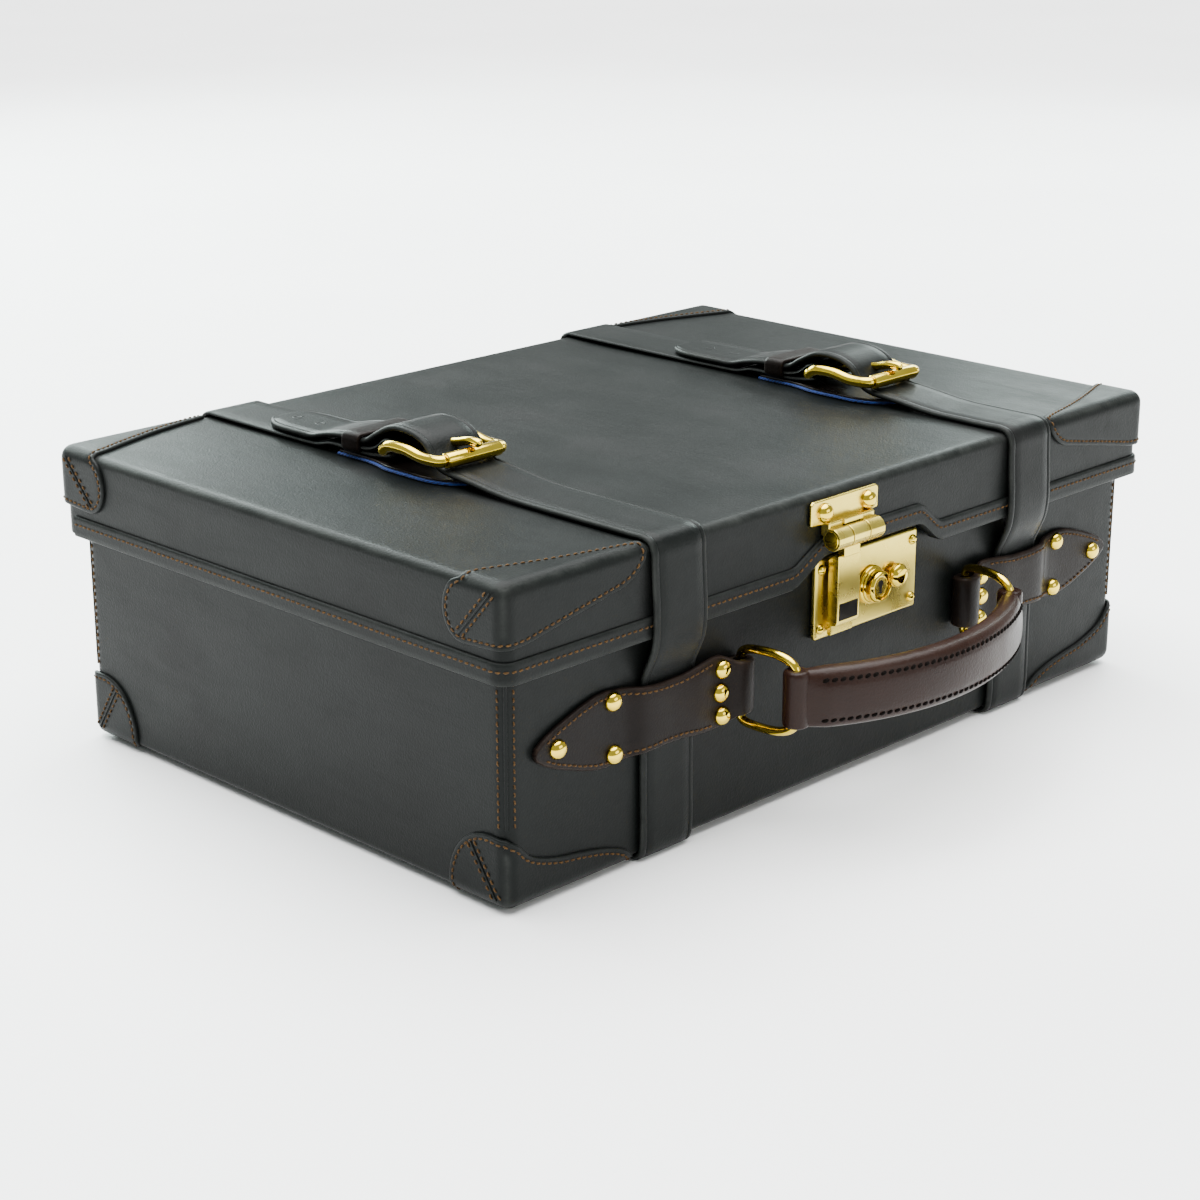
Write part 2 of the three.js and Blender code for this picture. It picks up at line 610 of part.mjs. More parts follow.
const strapSets = [
  { name: "left", x: -strapX, rollerY: -28, tail: 151 },
  { name: "right", x: strapX, rollerY: -72, tail: 160 },
];
for (const { name, x, rollerY, tail } of strapSets) {
  place(`billet_${name}`, billet(x, rollerY, tail), bridleLeather());
  place(`buckle_strap_${name}`, chapeStrap(x, rollerY), bridleLeather());
  place(`lower_strap_${name}`, lowerStrap(x), bridleLeather());
  place(`keeper_${name}`, keeper(x, rollerY), trimLeather());
  place(`buckle_pad_${name}`, bucklePad(x, rollerY), felt());
  place(`buckle_frame_${name}`, buckleFrame(x, rollerY), polishedBrass());
  place(`buckle_roller_${name}`, buckleRoller(x, rollerY), polishedBrass());
  place(`buckle_prong_${name}`, buckleProng(x, rollerY), polishedBrass());
}

for (const [name, side] of [["left", -1], ["right", 1]]) {
  place(`handle_tab_${name}`, handleTab(side), trimLeather());
  place(`d_ring_${name}`, dRing(side), polishedBrass());
}
place("handle_grip", handleGrip(), trimLeather());

place("lock_plate", lockPlate(), satinBrass());
place("lock_case", lockCase(), springSteel());
place("key_collar", keyCollar(), polishedBrass());
place("key_cylinder", keyCylinder(), satinBrass());
place("lock_button", lockButton(), polishedBrass());
place("lock_bolt", lockBolt(), springSteel());
place("hasp_plate", haspPlate(), satinBrass());
place("hasp_leaf", haspLeaf(), satinBrass());
place("hasp_pin", cylinder("X", 1.6, 32, [haspX, haspAxisY, haspAxisZ], 12), polishedBrass());

hingeXs.forEach((x, i) => {
  place(`hinge_lid_leaf_${i + 1}`, hingeLidLeaf(x), satinBrass());
  place(`hinge_base_leaf_${i + 1}`, hingeBaseLeaf(x), satinBrass());
  place(`hinge_pin_${i + 1}`, cylinder("X", 1.25, 43, [x, hingeAxisY, hingeAxisZ], 12), springSteel());
});

export default caseGroup;
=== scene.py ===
"""Looks for a leather attache case: a stitched leather box and lid, buckled straps, a hasp lock and a padded
handle on two rings. Lengths are in millimetres until piece() turns them to metres."""
import math

import bmesh
import bpy
import numpy as np
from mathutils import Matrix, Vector


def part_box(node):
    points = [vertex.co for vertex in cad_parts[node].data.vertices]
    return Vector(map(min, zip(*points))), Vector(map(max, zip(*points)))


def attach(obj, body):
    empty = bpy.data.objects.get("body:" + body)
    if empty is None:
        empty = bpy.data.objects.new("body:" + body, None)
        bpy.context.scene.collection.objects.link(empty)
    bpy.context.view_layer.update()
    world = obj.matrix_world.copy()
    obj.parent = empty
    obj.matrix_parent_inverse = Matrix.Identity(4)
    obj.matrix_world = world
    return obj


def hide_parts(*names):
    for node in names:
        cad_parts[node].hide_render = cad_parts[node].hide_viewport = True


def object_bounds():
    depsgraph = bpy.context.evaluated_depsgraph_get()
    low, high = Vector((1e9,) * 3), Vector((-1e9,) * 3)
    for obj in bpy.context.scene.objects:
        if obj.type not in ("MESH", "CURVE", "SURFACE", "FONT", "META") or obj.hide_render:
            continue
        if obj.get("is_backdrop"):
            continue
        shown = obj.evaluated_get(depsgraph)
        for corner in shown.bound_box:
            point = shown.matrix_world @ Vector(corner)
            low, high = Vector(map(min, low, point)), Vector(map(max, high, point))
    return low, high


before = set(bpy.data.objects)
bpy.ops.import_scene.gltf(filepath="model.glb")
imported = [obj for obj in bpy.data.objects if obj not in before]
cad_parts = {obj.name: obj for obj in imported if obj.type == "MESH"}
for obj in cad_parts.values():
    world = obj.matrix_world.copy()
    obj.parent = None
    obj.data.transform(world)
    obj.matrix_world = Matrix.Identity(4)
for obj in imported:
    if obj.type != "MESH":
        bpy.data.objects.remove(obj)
cad_low, cad_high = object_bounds()
random = np.random.default_rng(7)


def span(node):
    """Lowest and highest corner of a CAD node, in millimetres."""
    low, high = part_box(node)
    return np.array(low) * 1000, np.array(high) * 1000


base_low, base_high = span("base_shell")
lid_low, lid_high = span("lid_shell")
middle_y = (base_low[1] + base_high[1]) / 2
base_half = np.array([base_high[0], (base_high[1] - base_low[1]) / 2])
lid_half = np.array([lid_high[0], (lid_high[1] - lid_low[1]) / 2])
lid_edge_z, top_z = lid_low[2], lid_high[2]
strap_low, strap_high = span("billet_right")
strap_x = (strap_low[0] + strap_high[0]) / 2
strap_width = strap_high[0] - strap_low[0]
plan_corner = 7.0  # radius of the upright corners of the box and lid
box_edge = 5.0  # radius of the edges that the corner caps fold over


# ---- materials ----
def linear(code):
    """The linear colour of an sRGB hex code."""
    parts = [int(code[i:i + 2], 16) / 255 for i in (1, 3, 5)]
    return [c / 12.92 if c <= 0.04045 else ((c + 0.055) / 1.055) ** 2.4 for c in parts] + [1.0]


def add_node(tree, kind, links=None, values=None, **settings):
    """One shader node; links feed sockets from other nodes' outputs, and values fill them."""
    made = tree.nodes.new(kind)
    for name, value in settings.items():
        setattr(made, name, value)
    for socket, value in (values or {}).items():
        made.inputs[socket].default_value = value
    for socket, source in (links or {}).items():
        tree.links.new(source, made.inputs[socket])
    return made


def new_material(name, **values):
    """A material with its Principled node, whose constants are set on its own sockets."""
    material = bpy.data.materials.new(name)
    material.use_nodes = True
    tree = material.node_tree
    shader = tree.nodes["Principled BSDF"]
    for socket, value in values.items():
        shader.inputs[socket.replace("_", " ")].default_value = value
    place = add_node(tree, "ShaderNodeTexCoord").outputs["Object"]
    return material, tree, shader, place


def ramp(tree, source, stops):
    """A colour ramp over a value: stops are (position, hex code)."""
    made = add_node(tree, "ShaderNodeValToRGB", {"Fac": source})
    elements = made.color_ramp.elements
    while len(elements) < len(stops):
        elements.new(0.5)
    for element, (position, code) in zip(elements, stops):
        element.position = position
        element.color = linear(code)
    return made.outputs["Color"]


def spread(tree, source, low, high, start=0.0, end=1.0):
    """Maps a value's range start..end to low..high."""
    values = {"From Min": start, "From Max": end, "To Min": low, "To Max": high}
    return add_node(tree, "ShaderNodeMapRange", {"Value": source}, values).outputs["Result"]


def leather(name, stops, rough, grain, wear, gloss, coat=0.0):
    """Waxed hide: cloudy dye, a fine pebbled grain with pores, soft pull-up clouds and paler edges, partly rubbed wear
    and partly painted highlight.
    """
    values = {"Specular_IOR_Level": gloss, "Coat_Weight": coat, "Coat_Roughness": 0.22}
    material, tree, shader, place = new_material(name, **values)
    # Dye clouds are about 70 mm across, folds of the grain 2.4 mm, pebbles 1 mm, and scuffs 17 mm by 68 mm.
    clouds = add_node(tree, "ShaderNodeTexNoise", {"Vector": place}, {"Scale": 14.0, "Detail": 5.0, "Roughness": 0.6})
    fine = add_node(tree, "ShaderNodeTexNoise", {"Vector": place}, {"Scale": 420.0, "Detail": 4.0, "Roughness": 0.65})
    pebble = add_node(tree, "ShaderNodeTexVoronoi", {"Vector": place}, {"Scale": 950.0, "Randomness": 1.0})
    stretched = add_node(tree, "ShaderNodeMapping", {"Vector": place}, {"Scale": (1.0, 0.25, 1.0)})
    scuffs = add_node(tree, "ShaderNodeTexNoise", {"Vector": stretched.outputs["Vector"]},
                      {"Scale": 60.0, "Detail": 6.0, "Roughness": 0.75, "Distortion": 0.6})
    dye = ramp(tree, clouds.outputs["Fac"], stops)
    # The paler edge colour mixed in here is rubbed wear and a painted highlight on the rounded edges.
    rubbed_and_lit = add_node(tree, "ShaderNodeAttribute", attribute_name="wear").outputs["Fac"]
    patchy = spread(tree, scuffs.outputs["Fac"], 0.1, 1.0, 0.35, 0.65)
    broken = add_node(tree, "ShaderNodeMath", {0: rubbed_and_lit, 1: patchy}, operation="MULTIPLY").outputs["Value"]
    colour = add_node(tree, "ShaderNodeMix", {"Factor": broken, "A": dye}, data_type="RGBA")
    colour.inputs["B"].default_value = linear(wear)
    tree.links.new(colour.outputs["Result"], shader.inputs["Base Color"])
    waxed = spread(tree, clouds.outputs["Fac"], rough - 0.05, rough + 0.07, 0.3, 0.7)
    scuffed = spread(tree, scuffs.outputs["Fac"], -0.03, 0.07, 0.4, 0.75)
    dull = add_node(tree, "ShaderNodeMath", {0: waxed, 1: scuffed}, operation="ADD")
    tree.links.new(dull.outputs["Value"], shader.inputs["Roughness"])
    height = add_node(tree, "ShaderNodeMath", {0: fine.outputs["Fac"], 1: pebble.outputs["Distance"]}, operation="ADD")
    bump = add_node(tree, "ShaderNodeBump", {"Height": height.outputs["Value"]},
                    {"Strength": grain, "Distance": 0.0004})
    wave = add_node(tree, "ShaderNodeBump", {"Height": scuffs.outputs["Fac"], "Normal": bump.outputs["Normal"]},
                    {"Strength": 0.12, "Distance": 0.0012})
    tree.links.new(wave.outputs["Normal"], shader.inputs["Normal"])
    return material


def metal(name, code, worn, rough, brushed=0.0):
    """Cast or rolled metal: tarnish clouds about 18 mm across, and upright hairlines 0.4 mm apart."""
    material, tree, shader, place = new_material(name, Metallic=1.0)
    clouds = add_node(tree, "ShaderNodeTexNoise", {"Vector": place}, {"Scale": 55.0, "Detail": 4.0})
    lines = add_node(tree, "ShaderNodeMapping", {"Vector": place}, {"Scale": (1.0, 1.0, 0.04)})
    hair = add_node(tree, "ShaderNodeTexNoise", {"Vector": lines.outputs["Vector"]}, {"Scale": 2400.0, "Detail": 2.0})
    tree.links.new(ramp(tree, clouds.outputs["Fac"], [(0.35, worn), (0.6, code)]), shader.inputs["Base Color"])
    tree.links.new(spread(tree, clouds.outputs["Fac"], rough, rough + 0.09, 0.3, 0.75), shader.inputs["Roughness"])
    bump = add_node(tree, "ShaderNodeBump", {"Height": hair.outputs["Fac"]},
                    {"Strength": 0.03 + brushed, "Distance": 0.0001})
    tree.links.new(bump.outputs["Normal"], shader.inputs["Normal"])
    return material


def cloth(name, dark, light, thread, fuzz, gloss=0.3):
    """Twill cloth, felt or twisted thread: a diagonal rib one thread (in metres) apart, under a nap of lint
    1.4 mm across, with sheen on the fibres."""
    values = {"Roughness": 0.92, "Sheen_Weight": fuzz, "Sheen_Roughness": 0.5, "Specular_IOR_Level": gloss}
    material, tree, shader, place = new_material(name, **values)
    rib = add_node(tree, "ShaderNodeTexWave", {"Vector": place},
                   {"Scale": 0.32 / thread, "Distortion": 0.8, "Detail": 1.0}, bands_direction="DIAGONAL")
    ribs = add_node(tree, "ShaderNodeMath", {0: rib.outputs["Fac"]}, {1: 0.4}, operation="MULTIPLY")
    lint = add_node(tree, "ShaderNodeTexNoise", {"Vector": place}, {"Scale": 700.0, "Detail": 5.0})
    mixed = add_node(tree, "ShaderNodeMath", {0: lint.outputs["Fac"], 2: ribs.outputs["Value"]}, {1: 0.6},
                     operation="MULTIPLY_ADD")
    tree.links.new(ramp(tree, mixed.outputs["Value"], [(0.3, dark), (0.7, light)]), shader.inputs["Base Color"])
    bump = add_node(tree, "ShaderNodeBump", {"Height": mixed.outputs["Value"]}, {"Strength": 0.5, "Distance": 0.0003})
    tree.links.new(bump.outputs["Normal"], shader.inputs["Normal"])
    return material


# Near-black waxed bridle hide: a deep brown dye that reads as charcoal under a broad soft light. Its cool grey edge
# colour paints a highlight along the rounded edges as well as rubbed wear.
bridle = leather("bridle_leather", [(0.3, "#0b0e0d"), (0.55, "#0f1110"), (0.75, "#131313")],
                 rough=0.4, grain=0.16, wear="#2b2d2b", gloss=0.08)
# The same hide cut for the tabs and keepers, a little browner.
tab_hide = leather("tab_leather", [(0.3, "#0e0b0a"), (0.55, "#120d0b"), (0.75, "#16100e")],
                   rough=0.37, grain=0.18, wear="#2c221c", gloss=0.07)
# The browner, much handled hide of the grip.
trim = leather("trim_leather", [(0.3, "#180b07"), (0.55, "#1e100b"), (0.75, "#26150e")],
               rough=0.32, grain=0.2, wear="#2b1c16", gloss=0.12)
# Cut leather edges rubbed with beeswax, darker and smoother than the grain side.
burnished = leather("burnished_edge", [(0.3, "#100c0a"), (0.7, "#1a1310")],
                    rough=0.3, grain=0.08, wear="#3a2a20", gloss=0.3, coat=0.1)
# Waxed linen thread in rust brown, dulled by handling.
thread = cloth("waxed_linen_thread", "#251606", "#543a16", 0.0004, fuzz=0.0)
# The same thread where wax and dye have darkened it.
dark_thread = cloth("dark_waxed_thread", "#040302", "#0c0806", 0.0004, fuzz=0.0, gloss=0.05)
# Solid polished brass with a warm, even lustre.
polished = metal("polished_brass", "#e6c842", "#dabb38", rough=0.08)
# Satin lacquered brass, paler and brushed upright.
satin = metal("satin_brass", "#d9c35c", "#cfb750", rough=0.24, brushed=0.04)
# A dark metal that paints shade and reflection: the shade inside the keyway and a dark reflection on the hasp leaf.
painted_dark_metal = metal("painted_shade_and_reflection_metal", "#3c3833", "#23201d", rough=0.35)
# Plain spring steel of hinge pins and lock parts.
steel = metal("spring_steel", "#a3a19d", "#86837d", rough=0.32, brushed=0.05)
# Tan twill lining of the box and lid.
lining = cloth("twill_lining", "#4a3826", "#6d573c", 0.0012, fuzz=0.3)
# Blue wool felt under the buckle pads.
blue_felt = cloth("blue_felt", "#0b1d4c", "#1a3d85", 0.0011, fuzz=0.15)


# ---- mesh making ----
def piece(name, points, faces, material, body, sharp=38.0, wear=None, replaces=()):
    """A closed mesh from points in millimetres, welded, with normals out and edges above an angle kept sharp."""
    mesh = bpy.data.meshes.new(name)
    mesh.from_pydata((np.asarray(points, float).reshape(-1, 3) * 0.001).tolist(), [], faces)
    # This attribute carries the paler edge colour: rubbed wear and a painted highlight.
    if wear is not None:
        layer = mesh.attributes.new("wear", "FLOAT", "POINT")
        layer.data.foreach_set("value", np.asarray(wear, np.float32).ravel())
    work = bmesh.new()
    work.from_mesh(mesh)
    bmesh.ops.remove_doubles(work, verts=work.verts, dist=2e-6)
    bmesh.ops.recalc_face_normals(work, faces=work.faces)
    limit = math.radians(sharp)
    for edge in work.edges:
        edge.smooth = len(edge.link_faces) == 2 and edge.calc_face_angle(0.0) < limit
    for face in work.faces:
        face.smooth = True
    work.to_mesh(mesh)
    work.free()
    mesh.materials.append(material)
    made = bpy.data.objects.new(name, mesh)
    bpy.context.scene.collection.objects.link(made)
    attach(made, body)
    if replaces:
        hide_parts(*replaces)
    return made


def grid_faces(rows, columns, wrap_rows=False, wrap_columns=True, start=0):
    """Quads over a grid of points; either direction may close on itself."""
    last_row = rows if wrap_rows else rows - 1
    last_column = columns if wrap_columns else columns - 1
    r, c = np.meshgrid(np.arange(last_row), np.arange(last_column), indexing="ij")
    r2, c2 = (r + 1) % rows, (c + 1) % columns
    quads = np.stack([r * columns + c, r * columns + c2, r2 * columns + c2, r2 * columns + c], -1)
    return (quads.reshape(-1, 4) + start).tolist()


def unit(vectors):
    """Each row scaled to length one."""
    return vectors / np.maximum(np.linalg.norm(vectors, axis=-1, keepdims=True), 1e-9)


def smooth_line(points, step=1.5):
    """A smooth curve through points, cubic between them, with slopes weighted so that it doesn't overshoot."""
    p = np.asarray(points, float)
    gaps = np.diff(p, axis=0)
    d = np.maximum(np.linalg.norm(gaps, axis=1), 1e-6) ** 0.5
    inner = gaps[:-1] / d[:-1, None] * d[1:, None] + gaps[1:] / d[1:, None] * d[:-1, None]
    slopes = np.vstack([(p[1] - p[0]) / d[0], inner / (d[:-1] + d[1:])[:, None], (p[-1] - p[-2]) / d[-1]])
    parts = []
    for i, h in enumerate(d):
        count = max(2, int(h * h / step))
        t = np.linspace(0, 1, count, endpoint=False)[:, None]
        parts.append((2 * t**3 - 3 * t**2 + 1) * p[i] + (t**3 - 2 * t**2 + t) * h * slopes[i]
                     + (3 * t**2 - 2 * t**3) * p[i + 1] + (t**3 - t**2) * h * slopes[i + 1])
    return np.vstack(parts + [p[-1:]])


def along(line):
    """Distance along a line at each of its points."""
    return np.concatenate([[0], np.cumsum(np.linalg.norm(np.diff(line, axis=0), axis=1))])


def resample(line, spots):
    """The points of a line at given distances along it."""
    where = along(line)
    return np.stack([np.interp(spots, where, line[:, i]) for i in range(line.shape[1])], -1)


def capped(name, points, material, body, **more):
    """A grid of points whose rows are closed rings, with a flat face over the first and the last ring."""
    rows, columns = points.shape[:2]
    faces = grid_faces(rows, columns)
    faces += [list(range(columns)), [(rows - 1) * columns + i for i in range(columns)]]
    return piece(name, points, faces, material, body, **more)


def sweep(name, line, side, out, sections, material, body, **more):
    """Carries a closed outline along a line; each outline point is (along side, along out)."""
    points = line[:, None] + side[:, None] * sections[..., :1] + out[:, None] * sections[..., 1:]
    return capped(name, points, material, body, **more)


def tube(name, line, radius, material, body, sides=16, **more):
    """A round wire with closed ends: rings round a line, each square to it and turned as little as possible from
    the one before."""
    line = np.asarray(line, float)
    forward = unit(np.gradient(line, axis=0))
    start = np.array([0.0, 0.0, 1.0]) if abs(forward[0][2]) < 0.9 else np.array([1.0, 0.0, 0.0])
    side = unit(np.cross(forward[0], start))
    angles = np.linspace(0, 2 * math.pi, sides, endpoint=False)
    rings = []
    for at, ahead, r in zip(line, forward, np.broadcast_to(radius, len(line))):
        side = unit(side - ahead * np.dot(side, ahead))
        up = np.cross(ahead, side)
        rings.append(at + r * (np.cos(angles)[:, None] * side + np.sin(angles)[:, None] * up))
    return capped(name, np.array(rings), material, body, **more)


def turned(name, profile, centres, axis, material, body, segments=40, closed=False, **more):
    """A profile of (radius, height) turned about an axis, at one or more centres; a closed profile makes a ring
    with a hole."""
    axis = unit(np.array(axis, float))
    helper = np.array([0.0, 0.0, 1.0]) if abs(axis[2]) < 0.9 else np.array([1.0, 0.0, 0.0])
    side = unit(np.cross(axis, helper))
    up = np.cross(axis, side)
    angles = np.linspace(0, 2 * math.pi, segments, endpoint=False)
    ring = np.cos(angles)[:, None] * side + np.sin(angles)[:, None] * up
    points, faces = [], []
    for centre in np.atleast_2d(np.asarray(centres, float)):
        faces += grid_faces(len(profile), segments, wrap_rows=closed, start=len(points) * len(profile) * segments)
        points.append([centre + radius * ring + height * axis for radius, height in profile])
    return piece(name, np.array(points), faces, material, body, **more)


def prism(name, outlines, plane, start, depth, bevel, material, body, segments=3, **more):
    """Flat plates: outlines in two coordinates pushed along the third, with softened edges."""
    first_axis, second_axis, deep_axis = {"XZ": (0, 2, 1), "YZ": (1, 2, 0), "XY": (0, 1, 2)}[plane]
    points, faces = [], []
    for outline in outlines:
        count = len(outline)
        first = sum(len(ends) for ends in points)
        ends = np.zeros((2, count, 3))
        ends[..., first_axis], ends[..., second_axis] = np.transpose(outline)
        ends[..., deep_axis] = [[start], [start + depth]]
        points.append(ends.reshape(-1, 3))
        faces += [[first + i for i in range(count)], [first + count + i for i in range(count)]]
        faces += [[first + i, first + (i + 1) % count, first + count + (i + 1) % count, first + count + i]
                  for i in range(count)]
    made = piece(name, np.vstack(points), faces, material, body, **more)
    soft = made.modifiers.new("soft_edges", "BEVEL")
    soft.width = bevel * 0.001
    soft.segments = segments
    soft.limit_method = "ANGLE"
    soft.angle_limit = math.radians(30)
    soft.harden_normals = True
    return made


def rectangle(low_a, low_b, high_a, high_b):
    """The four corners between a low and a high corner."""
    return [(low_a, low_b), (high_a, low_b), (high_a, high_b), (low_a, high_b)]


def stitches(name, rows, body, material=thread, length=2.5, pitch=3.6, width=0.5, slant=0.0, raise_by=0.12):
    """Saddle stitches: short rounded bars of thread, arched out of the leather, evenly along each line.
    rows holds (line, normals) pairs; each bar is a few rings of (place along it, fatness, lift)."""
    sides = 6
    ring = np.linspace(0, 2 * math.pi, sides, endpoint=False)
    arched = ((-1, 0.45, -0.3), (-0.6, 0.95, 0.05), (0, 1, 0.2), (0.6, 0.95, 0.05), (1, 0.45, -0.3))
    bar = np.array([[u * length / 2, math.cos(a) * width * fat, math.sin(a) * width * fat * 0.8 + lift]
                    for u, fat, lift in arched for a in ring])
    bar_faces = np.array(grid_faces(len(arched), sides))
    last_ring = len(bar) - sides
    points, faces = [], []
    for line, normals in rows:
        distance = along(line)
        count = max(1, int(distance[-1] // pitch))
        spots = (np.arange(count) + 0.5) * distance[-1] / count
        centre = resample(line, spots)
        before, after = np.maximum(spots - 0.6, 0), np.minimum(spots + 0.6, distance[-1])
        ahead = unit(resample(line, after) - resample(line, before))
        up = unit(np.stack([np.interp(spots, distance, normals[:, i]) for i in range(3)], -1))
        side = unit(np.cross(up, ahead))
        turn = slant + random.normal(0, 0.05, count)[:, None]
        ahead, side = ahead * np.cos(turn) + side * np.sin(turn), side * np.cos(turn) - ahead * np.sin(turn)
        spot = centre + up * raise_by
        bars = (spot[:, None] + ahead[:, None] * bar[None, :, :1] + side[:, None] * bar[None, :, 1:2]
                + up[:, None] * bar[None, :, 2:])
        for i in range(count):
            first = sum(len(p) for p in points) + i * len(bar)
            faces += (bar_faces + first).tolist()
            faces += [[first + k for k in range(sides)], [first + last_ring + k for k in range(sides)]]
        points.append(bars.reshape(-1, 3))
    return piece(name, np.vstack(points), faces, material, body, sharp=80)


# ---- box and lid ----
def arch(x):
    """How far the lid's lower edge rises over the lock at a place along the front: a trapezium whose corners
    are rounded by averaging it over 4.8 mm."""
    return sum(np.interp(x + s, [-50, -28.5, 44.5, 59], [0, 12, 12, 0]) for s in (0, -2.4, -1.2, 1.2, 2.4)) / 5


side_x, side_y, corner_steps = 156, 104, 9  # points along each side and round each corner of the box


def rectangle_loop(half_x, half_y, radius, count_x=side_x, count_y=side_y, corner=corner_steps):
    """A rounded rectangle, anticlockwise from the front left corner, always with the same number of points."""
    half_x, half_y = max(half_x, 0.0), max(half_y, 0.0)
    r = min(max(radius, 0.0), half_x, half_y)
    parts = []
    corners = [(1, -1, -90), (1, 1, 0), (-1, 1, 90), (-1, -1, 180)]
    sides = [((-1, -1), (1, -1), count_x), ((1, -1), (1, 1), count_y), ((1, 1), (-1, 1), count_x),
             ((-1, 1), (-1, -1), count_y)]
    for k, (start, end, count) in enumerate(sides):
        t = np.linspace(0, 1, count)[:, None]
        shrink = np.array([half_x - r, half_y]) if k % 2 == 0 else np.array([half_x, half_y - r])
        parts.append(np.array(start) * shrink * (1 - t) + np.array(end) * shrink * t)
        sx, sy, first = corners[k]
        turn = np.radians(np.linspace(first, first + 90, corner + 2)[1:-1])
        parts.append(np.stack([sx * (half_x - r) + r * np.cos(turn), sy * (half_y - r) + r * np.sin(turn)], -1))
    return np.vstack(parts)


arch_reach = 26  # height of the part of the lid's side that the arch bends


def shell(name, half, rings, body, node, arch_from=None):
    """A tray swept from rings of (inset, height, rubbing), closed over the middle at both ends of the ring list. The
    rubbing
    makes the edges paler: rubbed wear and a painted highlight. A ring with a rubbing of -1 is the top, which sinks and
    rises by a fifth of a millimetre."""
    loops, wear = [], []
    for inset, z, rubbed_and_lit in rings:
        radius = max(plan_corner - inset, 0.8) if inset < half[1] - 4 else 0
        loop = rectangle_loop(half[0] - inset, half[1] - inset, radius)
        height = np.full(len(loop), float(z))
        if arch_from is not None:
            front = np.clip(-(loop[:, 1] + half[1] - 12) / 4, 0, 1)
            lowest = arch_from + arch(loop[:, 0]) * front
            scale = (arch_from + arch_reach - lowest) / arch_reach
            height = np.where(height < arch_from + arch_reach, lowest + (height - arch_from) * scale, height)
        if inset > 8 and rubbed_and_lit < 0:
            waves = 1 + np.sin(loop[:, 0] / 31 + 1.3) * np.sin(loop[:, 1] / 27 + 0.4)
            height -= 0.22 * waves * min(1, (inset - 8) / 12)
        loops.append(np.column_stack([loop[:, 0], loop[:, 1] + middle_y, height]))
        wear.append(np.full(len(loop), max(rubbed_and_lit, 0.0)))
    points = np.array(loops)
    piece(name, points, grid_faces(*points.shape[:2]), bridle, body, wear=wear, replaces=(node,))


def rounding(inset, z, radius, start, end, rubbed_and_lit, steps=6):
    """Rings round an edge: a quarter circle whose centre is at (inset, z); the paler edge colour of rubbed wear and
    painted highlight is strongest halfway round.
    """
    angles = np.radians(np.linspace(start, end, steps))
    return [(inset - radius * math.cos(a), z + radius * math.sin(a), rubbed_and_lit * math.sin(2 * a) ** 2) for a in angles]


# The third number of each ring makes the rounded edges paler: rubbed wear and a painted highlight.
lid_rings = [(lid_half[1], top_z, -1)] + [(inset, top_z, -1) for inset in (130, 100, 70, 45, 28, 18, 12, 7)]
lid_rings += rounding(4.6, top_z - 4.6, 4.6, 90, 0, 0.9)
lid_rings += [(0.0, z, 0.0) for z in (142, 136, 131, 126, 121.5, 117, 112, 110.2)]
lid_rings += [(0.3, lid_edge_z + 0.4, 0.4), (1.0, lid_edge_z, 0.2), (4.0, lid_edge_z, 0), (4.7, lid_edge_z + 0.4, 0)]
lid_rings += [(5.0, z, 0.0) for z in (110.2, 117, 126, 136, 147.6)]
lid_rings += [(6.0, top_z - 4, 0), (60.0, top_z - 4, 0), (lid_half[1], top_z - 4, 0)]
shell("lid_leather", lid_half, lid_rings, "lid", "lid_shell", arch_from=lid_edge_z)

floor_z, rim_z = base_low[2], base_high[2]
# The third number of each ring makes the rounded edges paler: rubbed wear and a painted highlight.
base_rings = [(base_half[1], floor_z, -1)] + [(inset, floor_z, 0) for inset in (120, 80, 40, 20, 8)]
base_rings += rounding(3.0, floor_z + 3.0, 3.0, -90, 0, 0.8)
base_rings += [(0.0, z, 0.0) for z in (16, 30, 50, 70, 90, 108, 122, 132)]
base_rings += [(0.5, rim_z - 0.5, 0.3), (1.4, rim_z, 0.3), (2.8, rim_z, 0), (3.6, rim_z - 0.6, 0), (4.0, rim_z - 2, 0)]
base_rings += [(4.0, z, 0.0) for z in (100, 50, 9)] + [(6.0, 7.5, 0), (60.0, 7.5, 0), (base_half[1], 7.5, 0)]
shell("base_leather", base_half, base_rings, "base", "base_shell")


# ---- the bound lower edge of the lid ----
def lid_path():
    """The lid's outline from the rear of its left side, round the front, to the rear of its right side, with
    the outward direction at each point."""
    loop = rectangle_loop(lid_half[0], lid_half[1], plan_corner)
    order = np.vstack([loop[-side_y - corner_steps:], loop[:side_x + corner_steps + side_y]])
    stop = span("lid_edge_band")[1][1] - middle_y
    order = order[order[:, 1] < stop]
    core = lid_half - plan_corner
    return order, unit(order - np.clip(order, -core, core))


lid_line, lid_out = lid_path()
lid_rise = np.where(lid_line[:, 1] < -lid_half[1] + 8, arch(lid_line[:, 0]), 0.0)
# The binding's section as (out from the lid, up from its edge), and how much paler edge colour, rubbed wear and painted
# highlight, each of its points takes.
band_profile = [(0.25, 0.0), (1.1, 0.05), (1.55, 0.4), (1.7, 1.1), (1.7, 3.0), (1.6, 5.6), (1.7, 8.0), (1.65, 9.2),
                (1.3, 10.0), (0.8, 10.4), (0.25, 10.5)]
band_points = np.array([np.column_stack([lid_line + lid_out * out + [0, middle_y], lid_edge_z + lid_rise + up])
                        for out, up in band_profile]).transpose(1, 0, 2)
band_wear = np.tile([0, 0.8, 1, 0.5, 0, 0, 0, 0.2, 0.6, 0.4, 0], len(lid_line))
capped("lid_edge_binding", band_points, bridle, "lid", wear=band_wear, replaces=("lid_edge_band",))
band_normals = np.column_stack([lid_out, np.zeros(len(lid_out))])
stitch_line = np.column_stack([lid_line + lid_out * 1.62 + [0, middle_y], lid_edge_z + lid_rise + 6.4])
